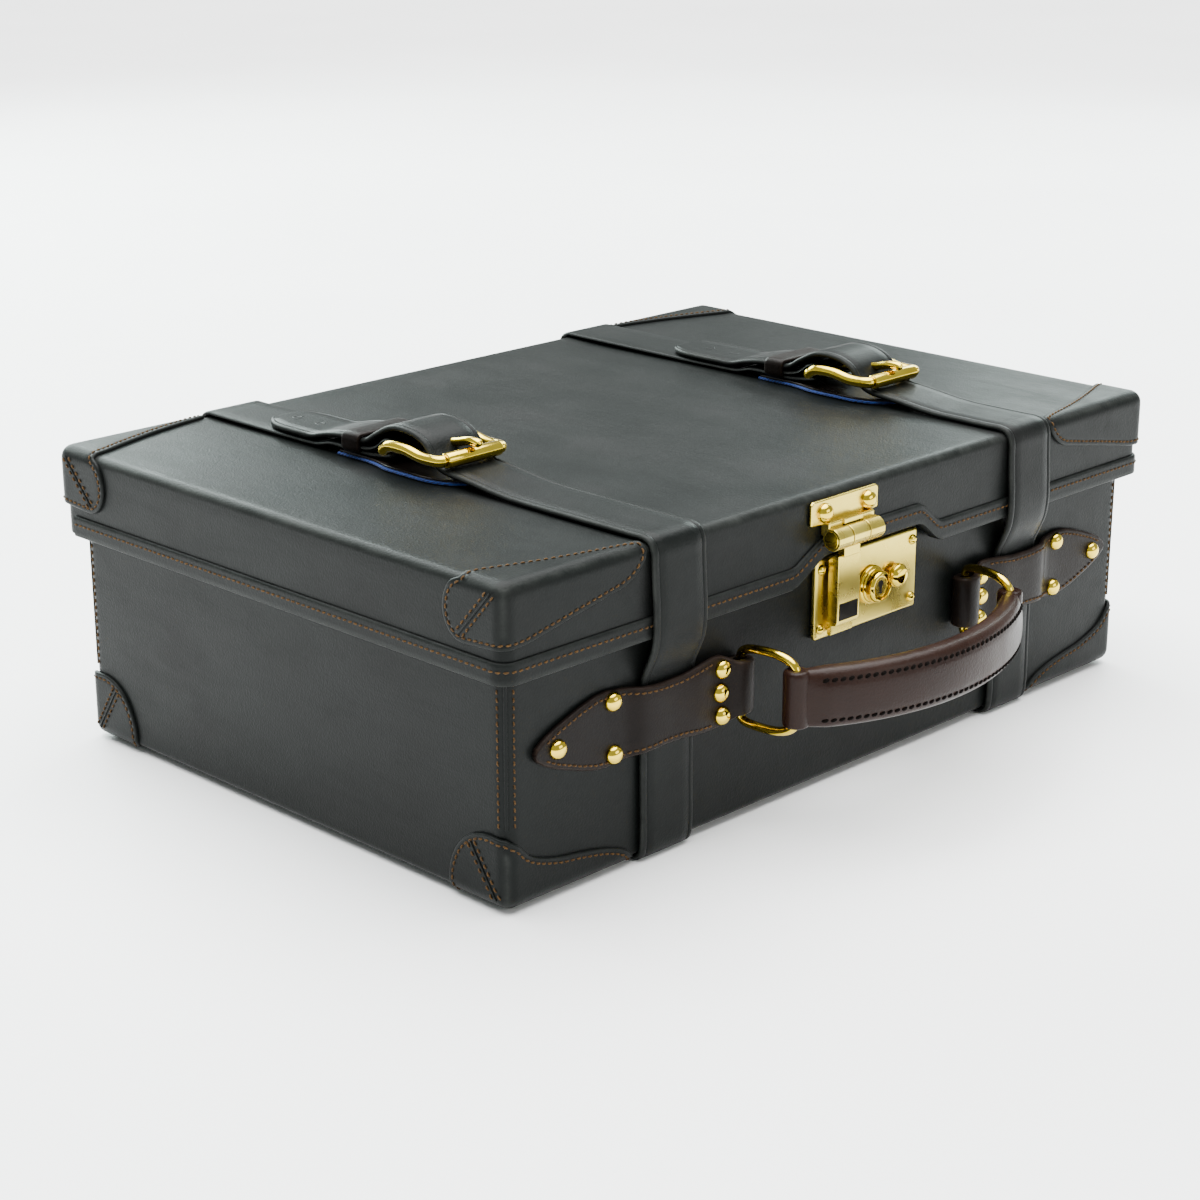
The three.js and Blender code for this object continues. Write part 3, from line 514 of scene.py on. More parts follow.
stitches("lid_edge_stitching", [(stitch_line, band_normals)], "lid", slant=0.12)


# ---- corner caps ----
cap_points = 220  # points round a cap's edge
cap_thickness = 1.75
stitch_inset = 2.6  # how far the stitch row lies from a cap's or a tab's edge
# The cap's edge as (in from the outline, out from the box, rubbing and painted highlight); the dip is pressed in by the
# stitching.
cap_rim = [(0.0, 0.05, 0), (0.0, 0.9, 0.1), (0.15, 1.35, 0.3), (0.5, 1.65, 0.3), (1.1, cap_thickness, 0.1),
           (2.1, 1.7, 0.0), (stitch_inset, 1.52, 0), (3.1, 1.7, 0), (4.5, cap_thickness, 0)]


def soften(points, low, high, grow):
    """Points on a sharp box moved to the box with rounded edges, then out by an amount; also the normals."""
    core = np.clip(points, low + box_edge, high - box_edge)
    normal = unit(points - core)
    return core + normal * (box_edge + grow), normal


def back_from(corner, sign, axes, reach):
    """Points at distances from a corner, measured inwards along the two axes of one face."""
    points = np.tile(np.asarray(corner, float), (len(reach), 1))
    for axis, distance in zip(axes, np.transpose(reach)):
        points[:, axis] -= sign[axis] * distance
    return points


def corner_cap(name, sign, low, high, outline, creases, body, node):
    """A moulded leather cap over three faces that meet at a corner, with a raised rim, stitched round its edge
    and along each side of a welt. outline holds three lists of points, one per face, each from one fold to the
    next, measured from the corner inwards along the two axes of that face; creases holds the two stitched lines
    on a face in the same way."""
    corner = np.where(np.array(sign) > 0, high, low)
    loop = np.vstack([back_from(corner, sign, axes, smooth_line(points, 2.0)[:-1]) for axes, points in outline])
    closed = np.vstack([loop, loop[:1]])
    loop = resample(closed, np.linspace(0, along(closed)[-1], cap_points, endpoint=False))
    face_normal = soften(loop, low, high, 0)[1]
    ahead = unit(np.roll(loop, -1, 0) - np.roll(loop, 1, 0))
    inward = unit(np.cross(face_normal, ahead))
    if np.mean(np.sum(inward * (corner - loop), 1)) < 0:
        inward = -inward
    rows, wear = [], []
    for step, grow, rubbed_and_lit in cap_rim:
        rows.append(soften(loop + inward * step, low, high, grow)[0])
        wear.append(np.full(len(loop), rubbed_and_lit))
    rim = loop + inward * cap_rim[-1][0]
    for share in (0.1, 0.2, 0.3, 0.4, 0.5, 0.6, 0.68, 0.76, 0.84, 0.9, 0.95, 0.98, 1.0):
        spots, normal = soften(rim + (corner - rim) * share, low, high, cap_thickness)
        rows.append(spots)
        # Paler over the rounded folds: rubbed wear with a painted highlight.
        wear.append(0.9 * np.clip((1 - np.max(np.abs(normal), 1)) * 4 - 0.3, 0, 1))
    for share in (1.0, 0.5, 0.0):
        rows.append(soften(rim + (corner - rim) * share, low, high, cap_rim[0][1])[0])
        wear.append(np.zeros(len(loop)))
    points = np.array(rows)
    piece(name, points, grid_faces(*points.shape[:2], wrap_rows=True), bridle, body, wear=wear, replaces=(node,))
    spots, normal = soften(loop + inward * stitch_inset, low, high, 1.62)
    rows = [(np.vstack([spots, spots[:1]]), np.vstack([normal, normal[:1]]))]
    axes, lines = creases
    t = np.linspace(0, 1, 40)[:, None]
    first, second, middle = (soften(back_from(corner, sign, axes, np.array(start) * (1 - t) + np.array(end) * t),
                                    low, high, 1.82) for start, end in lines + [np.mean(lines, 0)])
    tube(name + "_welt", middle[0], 0.5, bridle, body, sides=8)
    stitches(name + "_stitching", rows + [first, second], body, slant=0.1)


# The caps' outlines, with a long tongue along the front or back and a short one along the side.
lid_outline = [
    ((0, 1), [(85, 0), (85, 4), (66, 8.5), (45, 13.5), (24, 20), (8, 25.5), (0, 27)]),
    ((1, 2), [(27, 0), (32.5, 4), (35.5, 10), (36, 18), (32.5, 25), (27, 28.6), (15, 28.5), (0, 27.5)]),
    ((2, 0), [(27.5, 0), (26.8, 12), (24.5, 24), (20.5, 44), (17, 62), (14, 74), (8, 82), (3, 85), (0, 85)]),
]
lid_creases = ((1, 2), [((4.0, 4.0), (24.0, 26.5)), ((8.5, 3.0), (27.5, 24.0))])
base_outline = [
    ((0, 1), [(79, 0), (78, 5), (60, 9), (38, 14), (18, 22), (6, 32), (0, 36)]),
    ((1, 2), [(36, 0), (35.5, 10), (31, 21), (23, 29), (13, 32.5), (0, 32)]),
    ((2, 0), [(32, 0), (29.5, 5), (22, 13), (16, 30), (13.5, 46), (10, 62), (5, 74), (0, 79)]),
]
base_creases = ((1, 2), [((3.0, 4.0), (19.0, 28.0)), ((7.5, 3.0), (23.5, 26.0))])
# Each cap folds round one end of a box, so the box's other end is put far below or above it.
lid_box_low = np.array([lid_low[0], lid_low[1], 0.0])
base_box_high = np.array([base_high[0], base_high[1], 400.0])
box_corners = [(f"{face_name}_{side_name}", side_sign, face_sign)
               for side_name, side_sign in (("left", -1), ("right", 1))
               for face_name, face_sign in (("front", -1), ("back", 1))]
for place, side_sign, face_sign in box_corners:
    corner_cap(f"lid_corner_{place}", (side_sign, face_sign, 1), lid_box_low, lid_high,
               lid_outline, lid_creases, "lid", f"lid_cap_{place}")
    corner_cap(f"base_corner_{place}", (side_sign, face_sign, -1), base_low, base_box_high,
               base_outline, base_creases, "base", f"base_cap_{place}")

# Upright seams at the four corners of the base: a shallow ridge of joined panels between two stitch rows.
seam_z = np.linspace(floor_z + 36, lid_edge_z - 1, 30)
seam_inset, seam_sink, ridge_inset = 5.2, 0.22, 2.0
for place, side_sign, face_sign in box_corners:
    sign = np.array([side_sign, face_sign])
    corner = np.array([side_sign * base_half[0], middle_y + face_sign * base_half[1]])
    rows = []
    for axis in (0, 1):
        spot = np.tile(corner, (len(seam_z), 1))
        spot[:, axis] -= sign[axis] * seam_inset
        spot[:, 1 - axis] -= sign[1 - axis] * seam_sink
        normal = np.zeros((len(seam_z), 3))
        normal[:, 1 - axis] = sign[1 - axis]
        rows.append((np.column_stack([spot, seam_z]), normal))
    stitches(f"base_seam_{place}", rows, "base", slant=0.1, raise_by=0.02)
    ridge = np.column_stack([np.tile(corner - ridge_inset * sign, (len(seam_z), 1)), seam_z])
    tube(f"base_seam_welt_{place}", ridge, 0.9, bridle, "base", sides=12)


# ---- straps ----
crease_inset = 3.2  # how far the creased line lies from a strap's edge


def strap_section(width, thickness):
    """Half-round edges, and a fine creased line along each edge of the grain side."""
    w, t, c = width / 2, thickness, width / 2 - crease_inset
    half = [(0.0, t), (w * 0.5, t - 0.03), (c - 0.5, t - 0.06), (c, t - 0.34), (c + 0.5, t - 0.06),
            (w - 1.3, t - 0.1), (w - 0.55, t - 0.42), (w - 0.12, t - 0.95), (w, t * 0.5), (w - 0.12, 0.75),
            (w - 0.6, 0.2), (w - 1.4, 0.0), (w * 0.5, 0.0)]
    return np.array(half + [(0.0, 0.0)] + [(-a, b) for a, b in half[:0:-1]])


def strap(name, line, x, body, node, thickness=3.0, tip=0.0, step=1.2):
    """A creased strap whose middle follows a line of (y, z), with y from the case's middle; its far end may narrow
    over a given length."""
    flat = smooth_line(line, step)
    tangent = unit(np.gradient(flat, axis=0))
    out = np.column_stack([np.zeros(len(flat)), -tangent[:, 1], tangent[:, 0]])
    points = np.column_stack([np.full(len(flat), x), flat[:, 0] + middle_y, flat[:, 1]])
    section = strap_section(strap_width, thickness)
    section[:, 1] -= thickness / 2
    sections = np.tile(section, (len(flat), 1, 1))
    distance = along(flat)
    to_end = distance[-1] - distance
    if tip:
        share = np.clip(to_end / tip, 0, 1)
        sections[..., 0] *= (0.3 + 0.7 * np.sqrt(1 - (1 - share) ** 2))[:, None]
    sections[..., 1] *= np.where(np.minimum(distance, to_end) < 0.7, 0.75, 1)[:, None]
    side = np.tile([1.0, 0.0, 0.0], (len(flat), 1))
    # Paler along the grain side's edges: rubbed wear with a painted highlight.
    worn = np.clip((np.abs(section[:, 0]) - strap_width / 2 + 1.6) / 1.4, 0, 1) * (section[:, 1] > -0.2) * 0.9
    sweep(name, points, side, out, sections, bridle, body, wear=np.tile(worn, (len(flat), 1)), replaces=(node,))


def beside(start):
    """A function that turns (y, height above the lid) measured from a place along the case to (y, z)."""
    return lambda y, height: (start + y, top_z + height)


# Each strap's name, its middle, where its roller is along y from the case's middle, and how far its tail's end
# lies past the roller.
straps = [("left", -strap_x, -28.0, 141.0), ("right", strap_x, -72.0, 150.0)]
heel_reach = 41.0  # from the roller's axis to the heel bar's
lift = 0.3  # how far a strap's flesh side stands off the lid
top_line = top_z + lift + 1.5
wall_y = base_half[1] + 2 * lift + 1.5
for name, x, roller_y, tail in straps:
    at_roller, at_heel = beside(roller_y), beside(roller_y + heel_reach)
    billet_line = [
        (-154.6, 78.5), (-154.6, 84), (-155.6, 90), (-158.6, 97), (-161.4, 104), (-162.6, 112), (-162.5, 122),
        (-161.7, 134), (-161.2, 143), (-160.9, 148.5), (-158.8, 152.8), (-154.4, 154.3), (-146, top_line),
        (-120, top_line), at_roller(-45, 1.8), at_roller(-32, 2.6), at_roller(-19, 4.1), at_roller(-8, 5.2),
        at_roller(0, 5.9), at_roller(6, 7.6), at_roller(11, 12), at_roller(15.5, 17), at_roller(22, 20),
        at_roller(31, 21.2), at_roller(40, 20.4), at_roller(50, 15.6), at_roller(58, 10.9), at_roller(64, 9.9),
        at_roller(78, 9.9), at_roller(90, 7.9), at_roller(100, 5.4), at_roller(110, 5.1), at_roller(tail, 5.1),
    ]
    strap(f"billet_strap_{name}", billet_line, x, "lid", f"billet_{name}", tip=22.0)
    # The buckle strap comes up the back and over the lid, turns round the heel bar and lies back on itself.
    chape_line = [
        (160.9, 113), (160.9, 138), (161, 145), (160.4, 151), (156.6, 154), (150, top_line), (140, top_line),
        at_heel(64, 1.8), at_heel(54, 2.2), at_heel(44, 4.4), at_heel(30, 4.4), at_heel(14, 4.5), at_heel(7, 5.2),
        at_heel(0, 6.3), at_heel(-2.7, 7.3), at_heel(-3.7, 10), at_heel(-2.7, 12.7), at_heel(0, 13.7),
        at_heel(3.4, 13.3), at_heel(9, 9.2), at_heel(16, 6.9), at_heel(38, 6.9),
    ]
    strap(f"chape_strap_{name}", chape_line, x, "lid", f"buckle_strap_{name}", thickness=2.2, tip=9.0)
    low_line = [
        (wall_y, 102), (wall_y, 50), (wall_y, 7), (wall_y - 1, 3.6), (wall_y - 3.2, 1.9), (wall_y - 5.6, 1.52),
        (wall_y - 8, 1.5), (wall_y - 20, 1.5), (-wall_y + 20, 1.5), (-wall_y + 8, 1.5), (-wall_y + 5.6, 1.52),
        (-wall_y + 3.2, 1.9), (-wall_y + 1, 3.6), (-wall_y, 7), (-wall_y, 40), (-wall_y, 76),
    ]
    strap(f"under_strap_{name}", low_line, x, "base", f"lower_strap_{name}", step=2.0)
    # The adjusting holes past the keeper, each a small punched hole with a pressed rim.
    hole = [(0.0, 6.62), (1.7, 6.62), (2.0, 6.72), (2.5, 6.74), (2.8, 6.6), (2.8, 6.3), (0.0, 6.3)]
    for k in range(2):
        turned(f"billet_hole_{name}_{k + 1}", hole, [(x, roller_y + middle_y + 112 + 18 * k, top_z)], (0, 0, 1),
               bridle, "lid", segments=24)


# ---- keepers, pads and buckles ----
def loop_section(half_x, low, high, radius):
    """A rounded rectangle of (across, height) points."""
    loop = rectangle_loop(half_x, (high - low) / 2, radius, 10, 6, 5)
    return loop + [0, (high + low) / 2]


def rounded_end(radius, length, blunt, distance):
    """A wire's radius at distances from an end that rounds off over a length, with a small blunt tip."""
    share = np.clip((distance + blunt) / length, 0, 1)
    return radius * np.sqrt(np.clip(1 - (1 - share) ** 2, 0.02, 1))


keeper_half = 19.4
# A keeper's outside as (share of its width, how far drawn in), then its inside.
keeper_rings = [(0.0, 1.0), (0.03, 0.4), (0.1, 0.08), (0.2, 0.0), (0.4, -0.1), (0.6, -0.1), (0.8, 0.0), (0.9, 0.08),
                (0.97, 0.4), (1.0, 1.0)]
pad_points = 260
scallop_pitch = 3.2
# The buckle, from the roller's axis along the strap and up from the lid: a side as (across, along, up), the prong
# as (along, up), and the turned roller and prong eye as (radius, across).
roller_height, heel_height = 12, 10
buckle_side = [(20, 42.5, 9.6), (20, 40, 10.6), (20.3, 36, 13.0), (20.4, 24, 13.6), (20.4, 13, 11.9), (20.3, 6.5, 11.7),
               (20.1, 3.0, 11.9), (19.3, 0.8, 12.0), (17.4, 0, 12.0), (15, 0, 12.0)]
prong_line = [(38.2, 10.8), (34, 12.0), (26, 13.3), (10, 16.2), (2, 18.2), (-3, 18.4), (-6, 17.6)]
roller_profile = [(2.5, -17.2), (3.1, -17.2), (3.6, -16.8), (3.75, -16), (3.75, 0), (3.75, 16), (3.6, 16.8),
                  (3.1, 17.2), (2.5, 17.2)]
prong_eye = [(2.6, -3), (4.1, -3), (4.5, -2.5), (4.5, 2.5), (4.1, 3), (2.6, 3)]
for name, x, roller_y, tail in straps:
    roller_y += middle_y
    keeper_low, keeper_high = span(f"keeper_{name}")
    sections = [(share, loop_section(keeper_half - shrink, keeper_low[2] + shrink, keeper_high[2] - shrink, 3.4))
                for share, shrink in keeper_rings]
    inside = loop_section(17.5, keeper_low[2] + 1.7, keeper_high[2] - 1.7, 2.2)
    sections += [(share, inside) for share in (1.0, 0.5, 0.0)]
    rows = []
    for share, loop in sections:
        y = keeper_low[1] + share * (keeper_high[1] - keeper_low[1])
        rows.append(np.column_stack([loop[:, 0] + x, np.full(len(loop), y), loop[:, 1]]))
    rows = np.array(rows)
    worn = np.zeros(rows.shape[:2])
    worn[[1, len(keeper_rings) - 2]] = 0.35
    piece(f"strap_keeper_{name}", rows, grid_faces(*rows.shape[:2], wrap_rows=True), tab_hide, "lid", wear=worn,
          replaces=(f"keeper_{name}",))

    # The pad under the buckle: dark hide on blue felt whose scalloped edge shows all round.
    pad_low, pad_high = span(f"buckle_pad_{name}")
    outline = np.array([(17, 80), (17, 60), (18.2, 50), (20.6, 40), (21, 24), (20.4, 8), (16, -3), (9, -9), (0, -11)])
    right = smooth_line(outline, 1.0)
    loop = np.vstack([right, right[-2:0:-1] * [-1, 1], right[:1]])
    felt_top = pad_low[2] + 1.3
    for layer, material, low, high, shrink, scallop, nodes in (
            ("felt", blue_felt, pad_low[2], felt_top, 0.0, 0.35, ()),
            ("hide", burnished, felt_top, pad_high[2], 1.3, 0.0, (f"buckle_pad_{name}",))):
        spots = np.linspace(0, along(loop)[-1], pad_points, endpoint=False)
        edge = resample(loop, spots)
        inward = unit(np.array([0.0, 30.0]) - edge)
        edge = edge + inward * (shrink + scallop * np.abs(np.sin(spots / scallop_pitch * math.pi)))[:, None]
        rows = []
        for step, z in ((12, low), (0.4, low), (0, low + 0.3), (0, high - 0.35), (0.5, high), (2, high), (12, high)):
            ring = edge + inward * step
            rows.append(np.column_stack([ring[:, 0] + x, ring[:, 1] + roller_y, np.full(len(ring), z)]))
        capped(f"buckle_{layer}_{name}", np.array(rows), material, "lid", replaces=nodes)

    # The roller buckle: a cast wire frame with bowed sides, a heel bar, a turning roller and a prong.
    frame_body, prong_body = f"buckle_{name}", f"prong_{name}"
    pivot = [x, roller_y, top_z + roller_height]
    heel = [x, roller_y + heel_reach, top_z + heel_height]
    for sign, side_name in ((-1, "outer"), (1, "inner")):
        line = smooth_line([(x + sign * side, roller_y + offset, top_z + height)
                            for side, offset, height in buckle_side], 0.6)
        radius = rounded_end(2.9, 2.2, 0.15, along(line))
        radius = np.where(np.abs(line[:, 0] - x) < 17.9, 2.3, radius)
        tube(f"buckle_side_{name}_{side_name}", line, radius, polished, frame_body, sides=24)
    bar = [heel + np.array([side, 0, 0]) for side in (-21, -10, 0, 10, 21)]
    tube(f"buckle_heel_bar_{name}", bar, 2.5, polished, frame_body, sides=20, replaces=(f"buckle_frame_{name}",))
    axle = [pivot + np.array([side, 0, 0]) for side in (-19, 0, 19)]
    tube(f"buckle_axle_{name}", axle, 1.6, polished, frame_body)
    turned(f"buckle_roller_tube_{name}", roller_profile, [pivot], (1, 0, 0), polished, f"roller_{name}",
           closed=True, replaces=(f"buckle_roller_{name}",))
    line = smooth_line([(x, roller_y + offset, top_z + height) for offset, height in prong_line], 0.8)
    radius = rounded_end(2.2, 2.0, 0.1, along(line)[-1] - along(line))
    tube(f"buckle_prong_shaft_{name}", line, radius, polished, prong_body, sides=18)
    turned(f"buckle_prong_eye_{name}", prong_eye, [heel], (1, 0, 0), polished, prong_body, 36, closed=True,
           replaces=(f"buckle_prong_{name}",))


# ---- handle ----
# A tab's half width at places out from the middle of the case, from the ring to its pointed end.
tab_reach, tab_width = np.transpose([
    (79, 13.0), (90.5, 13.4), (94, 15.4), (99, 17.5), (104, 17.6), (112, 16.9), (125, 15.2), (138, 15.0), (150, 15.8),
    (158, 16.8), (169, 18.0), (176, 17.4), (186, 14.8), (200, 9.8), (208, 6.0), (212.2, 3), (213, 0.4)])
# Its middle as (x, y) from its end, over the strap and round the ring's bar.
tab_line = [(213, -154.4), (190, -154.4), (165, -154.4), (157, -155.2), (150.5, -158.1), (145, -158.9), (130, -158.9),
            (116, -158.9), (110.5, -158.4), (104, -157.6), (98, -157.6), (92.5, -160), (89, -161.8), (85, -162.1),
            (82.1, -161), (81.1, -158.2), (82.1, -155.4), (85, -154.3), (90, -154.3), (104, -154.3)]
tab_fold_half, tab_thickness = 13.0, 2.8
tab_wear = [0, 0, 0.2, 0.9, 0.5, 0, 0, 0, 0, 0, 0.5, 0.9, 0.2, 0]
tab_low, tab_high = span("handle_tab_left")
handle_z = (tab_low[2] + tab_high[2]) / 2
# Rivets as (x, up from the handle's level); the right tab's inner three sit a little nearer the fold.
rivet_spots = [(200.5, 0), (166.4, 12.7), (165.7, -12.5), (98.4, 10.9), (99.4, -0.3), (98.4, -11.7)]
inner_rivets, right_shift = 110, 2.6
dome = [(0.0, 3.9), (1.3, 3.8), (2.5, 3.4), (3.5, 2.7), (4.2, 1.8), (4.6, 0.9), (4.7, 0.35), (4.6, 0.0), (0.0, 0.0)]
bar_x, bar_y = 85.0, -158.2  # the ring's straight bar, in the fold
ring_reach, ring_rise = 30.8, 17.5
lean = 4 / ring_reach  # how far the rings lean towards the middle of the case
# Half a ring's wire as (out from its bar, up from ring_rise).
ring_half = [(0, -4), (0.8, -1.4), (3.6, 0.3), (12, 1.3), (21, 0.9), (27, -1.0), (30.0, -3.6), (ring_reach, -6.4)]


def in_ring(sign, line):
    """Points of (out from the bar, up from the handle's level) placed in the plane of a leaning ring."""
    return [(sign * (bar_x - reach * lean), bar_y + middle_y - reach * math.sqrt(1 - lean**2), handle_z + height)
            for reach, height in line]


for name, sign in (("left", -1), ("right", 1)):
    flat = smooth_line(tab_line, 0.8)
    bend = np.argmin(flat[:, 0])
    half = np.interp(flat[:, 0], tab_reach, tab_width)
    half[bend:] = tab_fold_half
    tangent = unit(np.gradient(flat, axis=0))
    line = np.column_stack([flat[:, 0] * sign, flat[:, 1] + middle_y, np.full(len(flat), handle_z)])
    out = np.column_stack([tangent[:, 1] * sign, -tangent[:, 0], np.zeros(len(flat))])
    if out[0][1] > 0:
        out = -out
    up = np.tile([0.0, 0.0, 1.0], (len(flat), 1))
    back = -tab_thickness / 2
    # The hide is doubled where it turns round the ring.
    doubled = np.clip((96 - flat[:, 0]) / 6, 0, 1) * ((flat[:, 1] < -156.6) | (flat[:, 0] < 84.5))
    doubled = np.convolve(doubled, np.full(7, 1 / 7), "same")
    sections = []
    for h, face in zip(half, tab_thickness / 2 + 1.1 * doubled):
        inner = max(h - 1.4, 0.05)
        side = inner + (h - inner) * 0.6
        sections.append([(0, face), (inner * 0.6, face), (inner, face - 0.08), (side, face - 0.4), (h, face - 1.2),
                         (h, back + 0.5), (side, back), (0, back), (-side, back), (-h, back + 0.5), (-h, face - 1.2),
                         (-side, face - 0.4), (-inner, face - 0.08), (-inner * 0.6, face)])
    sweep(f"handle_tab_leather_{name}", line, up, out, np.array(sections), tab_hide, "base",
          wear=np.tile(tab_wear, (len(flat), 1)), replaces=(f"handle_tab_{name}",))
    keep = (flat[:, 0] > 104) & (flat[:, 0] < 207.5) & (np.arange(len(flat)) < bend)
    inset = np.maximum(half - stitch_inset, 0.2)[keep, None]
    rows = [(line[keep] + out[keep] * (tab_thickness / 2 - 0.05) + up[keep] * direction * inset, out[keep])
            for direction in (1, -1)]
    stitches(f"handle_tab_stitching_{name}", rows, "base", pitch=3.4, slant=0.1)
    centres = []
    for reach, height in rivet_spots:
        if name == "right" and reach < inner_rivets:
            reach -= right_shift
        face = np.interp(-reach, -flat[:bend, 0], flat[:bend, 1]) + middle_y + back
        centres.append((sign * reach, face + 0.1, handle_z + height))
    turned(f"tab_rivets_{name}", dome, centres, (0, -1, 0), polished, "base", 36)

    # The D-ring: round brass wire whose straight bar turns in the folded end of the tab.
    lower = [(reach, -ring_rise - rise) for reach, rise in ring_half]
    upper = [(reach, ring_rise + rise) for reach, rise in ring_half[::-1]]
    wire = smooth_line(in_ring(sign, lower + [(ring_reach, 0)] + upper), 0.9)
    tube(f"ring_wire_{name}", wire, 2.15, polished, f"ring_{name}", sides=20, replaces=(f"d_ring_{name}",))
    tube(f"ring_bar_{name}", in_ring(sign, [(0, -14), (0, 0), (0, 14)]), 2.0, polished, f"ring_{name}", sides=20)

# The grip: a padded roll of hide, flatter on the inside, drawn in towards a loop at each end.
end_x, end_y = bar_x - 4, bar_y - math.sqrt(ring_reach**2 - 16)
bulge = 25.8  # how far the grip bows out past its ends
grip_rows, grip_columns = 181, 56
arc_radius = (end_x**2 + bulge**2) / (2 * bulge)
arc_y = end_y - bulge + arc_radius
angles = np.linspace(-1, 1, grip_rows) * math.asin(end_x / arc_radius) * 0.985
line = np.column_stack([np.sin(angles) * arc_radius, arc_y - np.cos(angles) * arc_radius + middle_y,
                        np.full(grip_rows, handle_z)])
out = np.column_stack([np.sin(angles), -np.cos(angles), np.zeros(grip_rows)])
up = np.tile([0.0, 0.0, 1.0], (grip_rows, 1))
full = np.clip((1 - np.abs(np.linspace(-1, 1, grip_rows))) * 6, 0, 1)
full = (full * full * (3 - 2 * full))[:, None]
turn = np.linspace(0, 2 * math.pi, grip_columns, endpoint=False)
sine, cosine = np.sin(turn), np.cos(turn)
outside = cosine > 0
round_up = np.sign(sine) * np.abs(sine) ** 0.55
round_out = np.sign(cosine) * np.abs(cosine) ** 0.62
groove = 0.34 * np.exp(-((np.abs(round_up) - 0.66) / 0.05) ** 2) * (cosine > 0.3)
thick = np.where(outside, 5.0 + 1.5 * full, 4.6 + 1.0 * full)
crown = 1.3 * full * (1 - round_up**2) * outside
sections = np.stack([round_up * (13.6 + 0.9 * full), round_out * thick + crown - groove * full], -1)
worn = np.tile(np.clip(np.abs(round_up) * 1.6 - 1.1, 0, 0.5) * (cosine > -0.2), (grip_rows, 1))
grip = sweep("handle_grip_leather", line, up, out, sections, trim, "handle", wear=worn, sharp=60,
             replaces=("handle_grip",))
stitched = slice(9, 172)
lift_by = (5.0 + 1.5 * full - 0.3)[stitched]
rows = [(line[stitched] + out[stitched] * lift_by + up[stitched] * direction * 9.7,
         out[stitched] + up[stitched] * direction * 0.3) for direction in (1, -1)]
stitches("handle_grip_stitching", rows, "handle", dark_thread, length=3.3, pitch=4.1, width=0.9, slant=0.35,
         raise_by=0.2)
loop_half = [(0.0, 13.2), (3.2, 13.7), (4.9, 13.6), (5.8, 13.1), (6.2, 12.2), (6.3, 10)]
loop_profile = [(radius, -height) for radius, height in loop_half] + loop_half[::-1]
for name, sign in (("left", -1), ("right", 1)):
    turned(f"grip_loop_{name}", loop_profile, [(sign * end_x, end_y + middle_y, handle_z)], (0, 0, 1), trim,
           "handle", 44)

# ---- lock and hasp ----
plate_low, plate_high = span("lock_plate")
plate_face = plate_low[1]
prism("lock_face_plate", [rectangle(plate_low[0], plate_low[2], plate_high[0], plate_high[2])], "XZ",
      plate_face, plate_high[1] - plate_face, 1.5, satin, "base", 4, replaces=("lock_plate",))
key_low, key_high = span("key_collar")
key = [(key_low[0] + key_high[0]) / 2, key_high[1], (key_low[2] + key_high[2]) / 2]
button_low, button_high = span("lock_button")
button = [(button_low[0] + button_high[0]) / 2, plate_face, (button_low[2] + button_high[2]) / 2]
pin = [(0.0, 1.9), (0.9, 1.8), (1.7, 1.4), (2.4, 0.7), (2.6, 0.2), (2.6, 0.0), (0.0, 0.0)]
corners = [(plate_high[0] - 4.1, plate_high[2] - 5.5), (plate_high[0] - 4.1, plate_low[2] + 5.5),
           (plate_low[0] + 3.4, plate_low[2] + 5.5), (plate_low[0] + 3.4, plate_high[2] - 5.5)]
turned("lock_plate_pins", pin, [(a, plate_face - 0.02, z) for a, z in corners], (0, -1, 0), polished, "base", 28)
collar = [(6.3, 0.0), (9.0, 0.0), (9.6, 0.25), (9.7, 0.8), (9.5, 1.5), (9.0, 1.9), (8.75, 2.1), (8.7, 2.7), (8.45, 3.1),
          (8.1, 3.4), (7.95, 4.2), (7.9, 5.6), (7.6, 6.5), (7.1, 7.2), (6.7, 7.5), (6.35, 7.4), (6.3, 6.8)]
turned("key_collar_ring", collar, [key], (0, -1, 0), polished, "base", 64, closed=True, replaces=("key_collar",))
front = [key[0], span("key_cylinder")[0][1], key[2]]
barrel = [(0.0, 0.0), (4.2, 0.0), (4.4, 0.5), (4.7, 0.5), (4.9, 0.0), (5.5, 0.05), (5.9, 0.5), (5.9, 17.5), (0.0, 17.5)]
turned("key_barrel", barrel, [front], (0, 1, 0), satin, "key_cylinder", 48, replaces=("key_cylinder",))
# The keyway is not cut: a dark plate and a dark disc on the barrel's face paint the shade inside it.
slot = rectangle(key[0] - 0.85, key[2] - 3.4, key[0] + 0.85, key[2] + 2.2)
prism("keyway_painted_shade", [slot], "XZ", front[1] - 0.12, 0.5, 0.05, painted_dark_metal, "key_cylinder", 2)
mouth = [(0, 0.5), (1.8, 0.5), (1.9, 0.0), (1.8, -0.14), (0, -0.14)]
turned("keyway_mouth_painted_shade", mouth, [[key[0], front[1], key[2] + 1.6]], (0, 1, 0), painted_dark_metal, "key_cylinder", 28)
knob = [(0.0, 6.0), (3.6, 5.9), (4.0, 5.7), (5.3, 4.6), (5.7, 4.1), (5.9, 3.4), (5.95, 1.9), (5.8, 1.6),
        (3.45, 1.5), (3.45, -9.0), (0.0, -9.0)]
turned("push_button_knob", knob, [button], (0, -1, 0), polished, "lock_button", 48, replaces=("lock_button",))

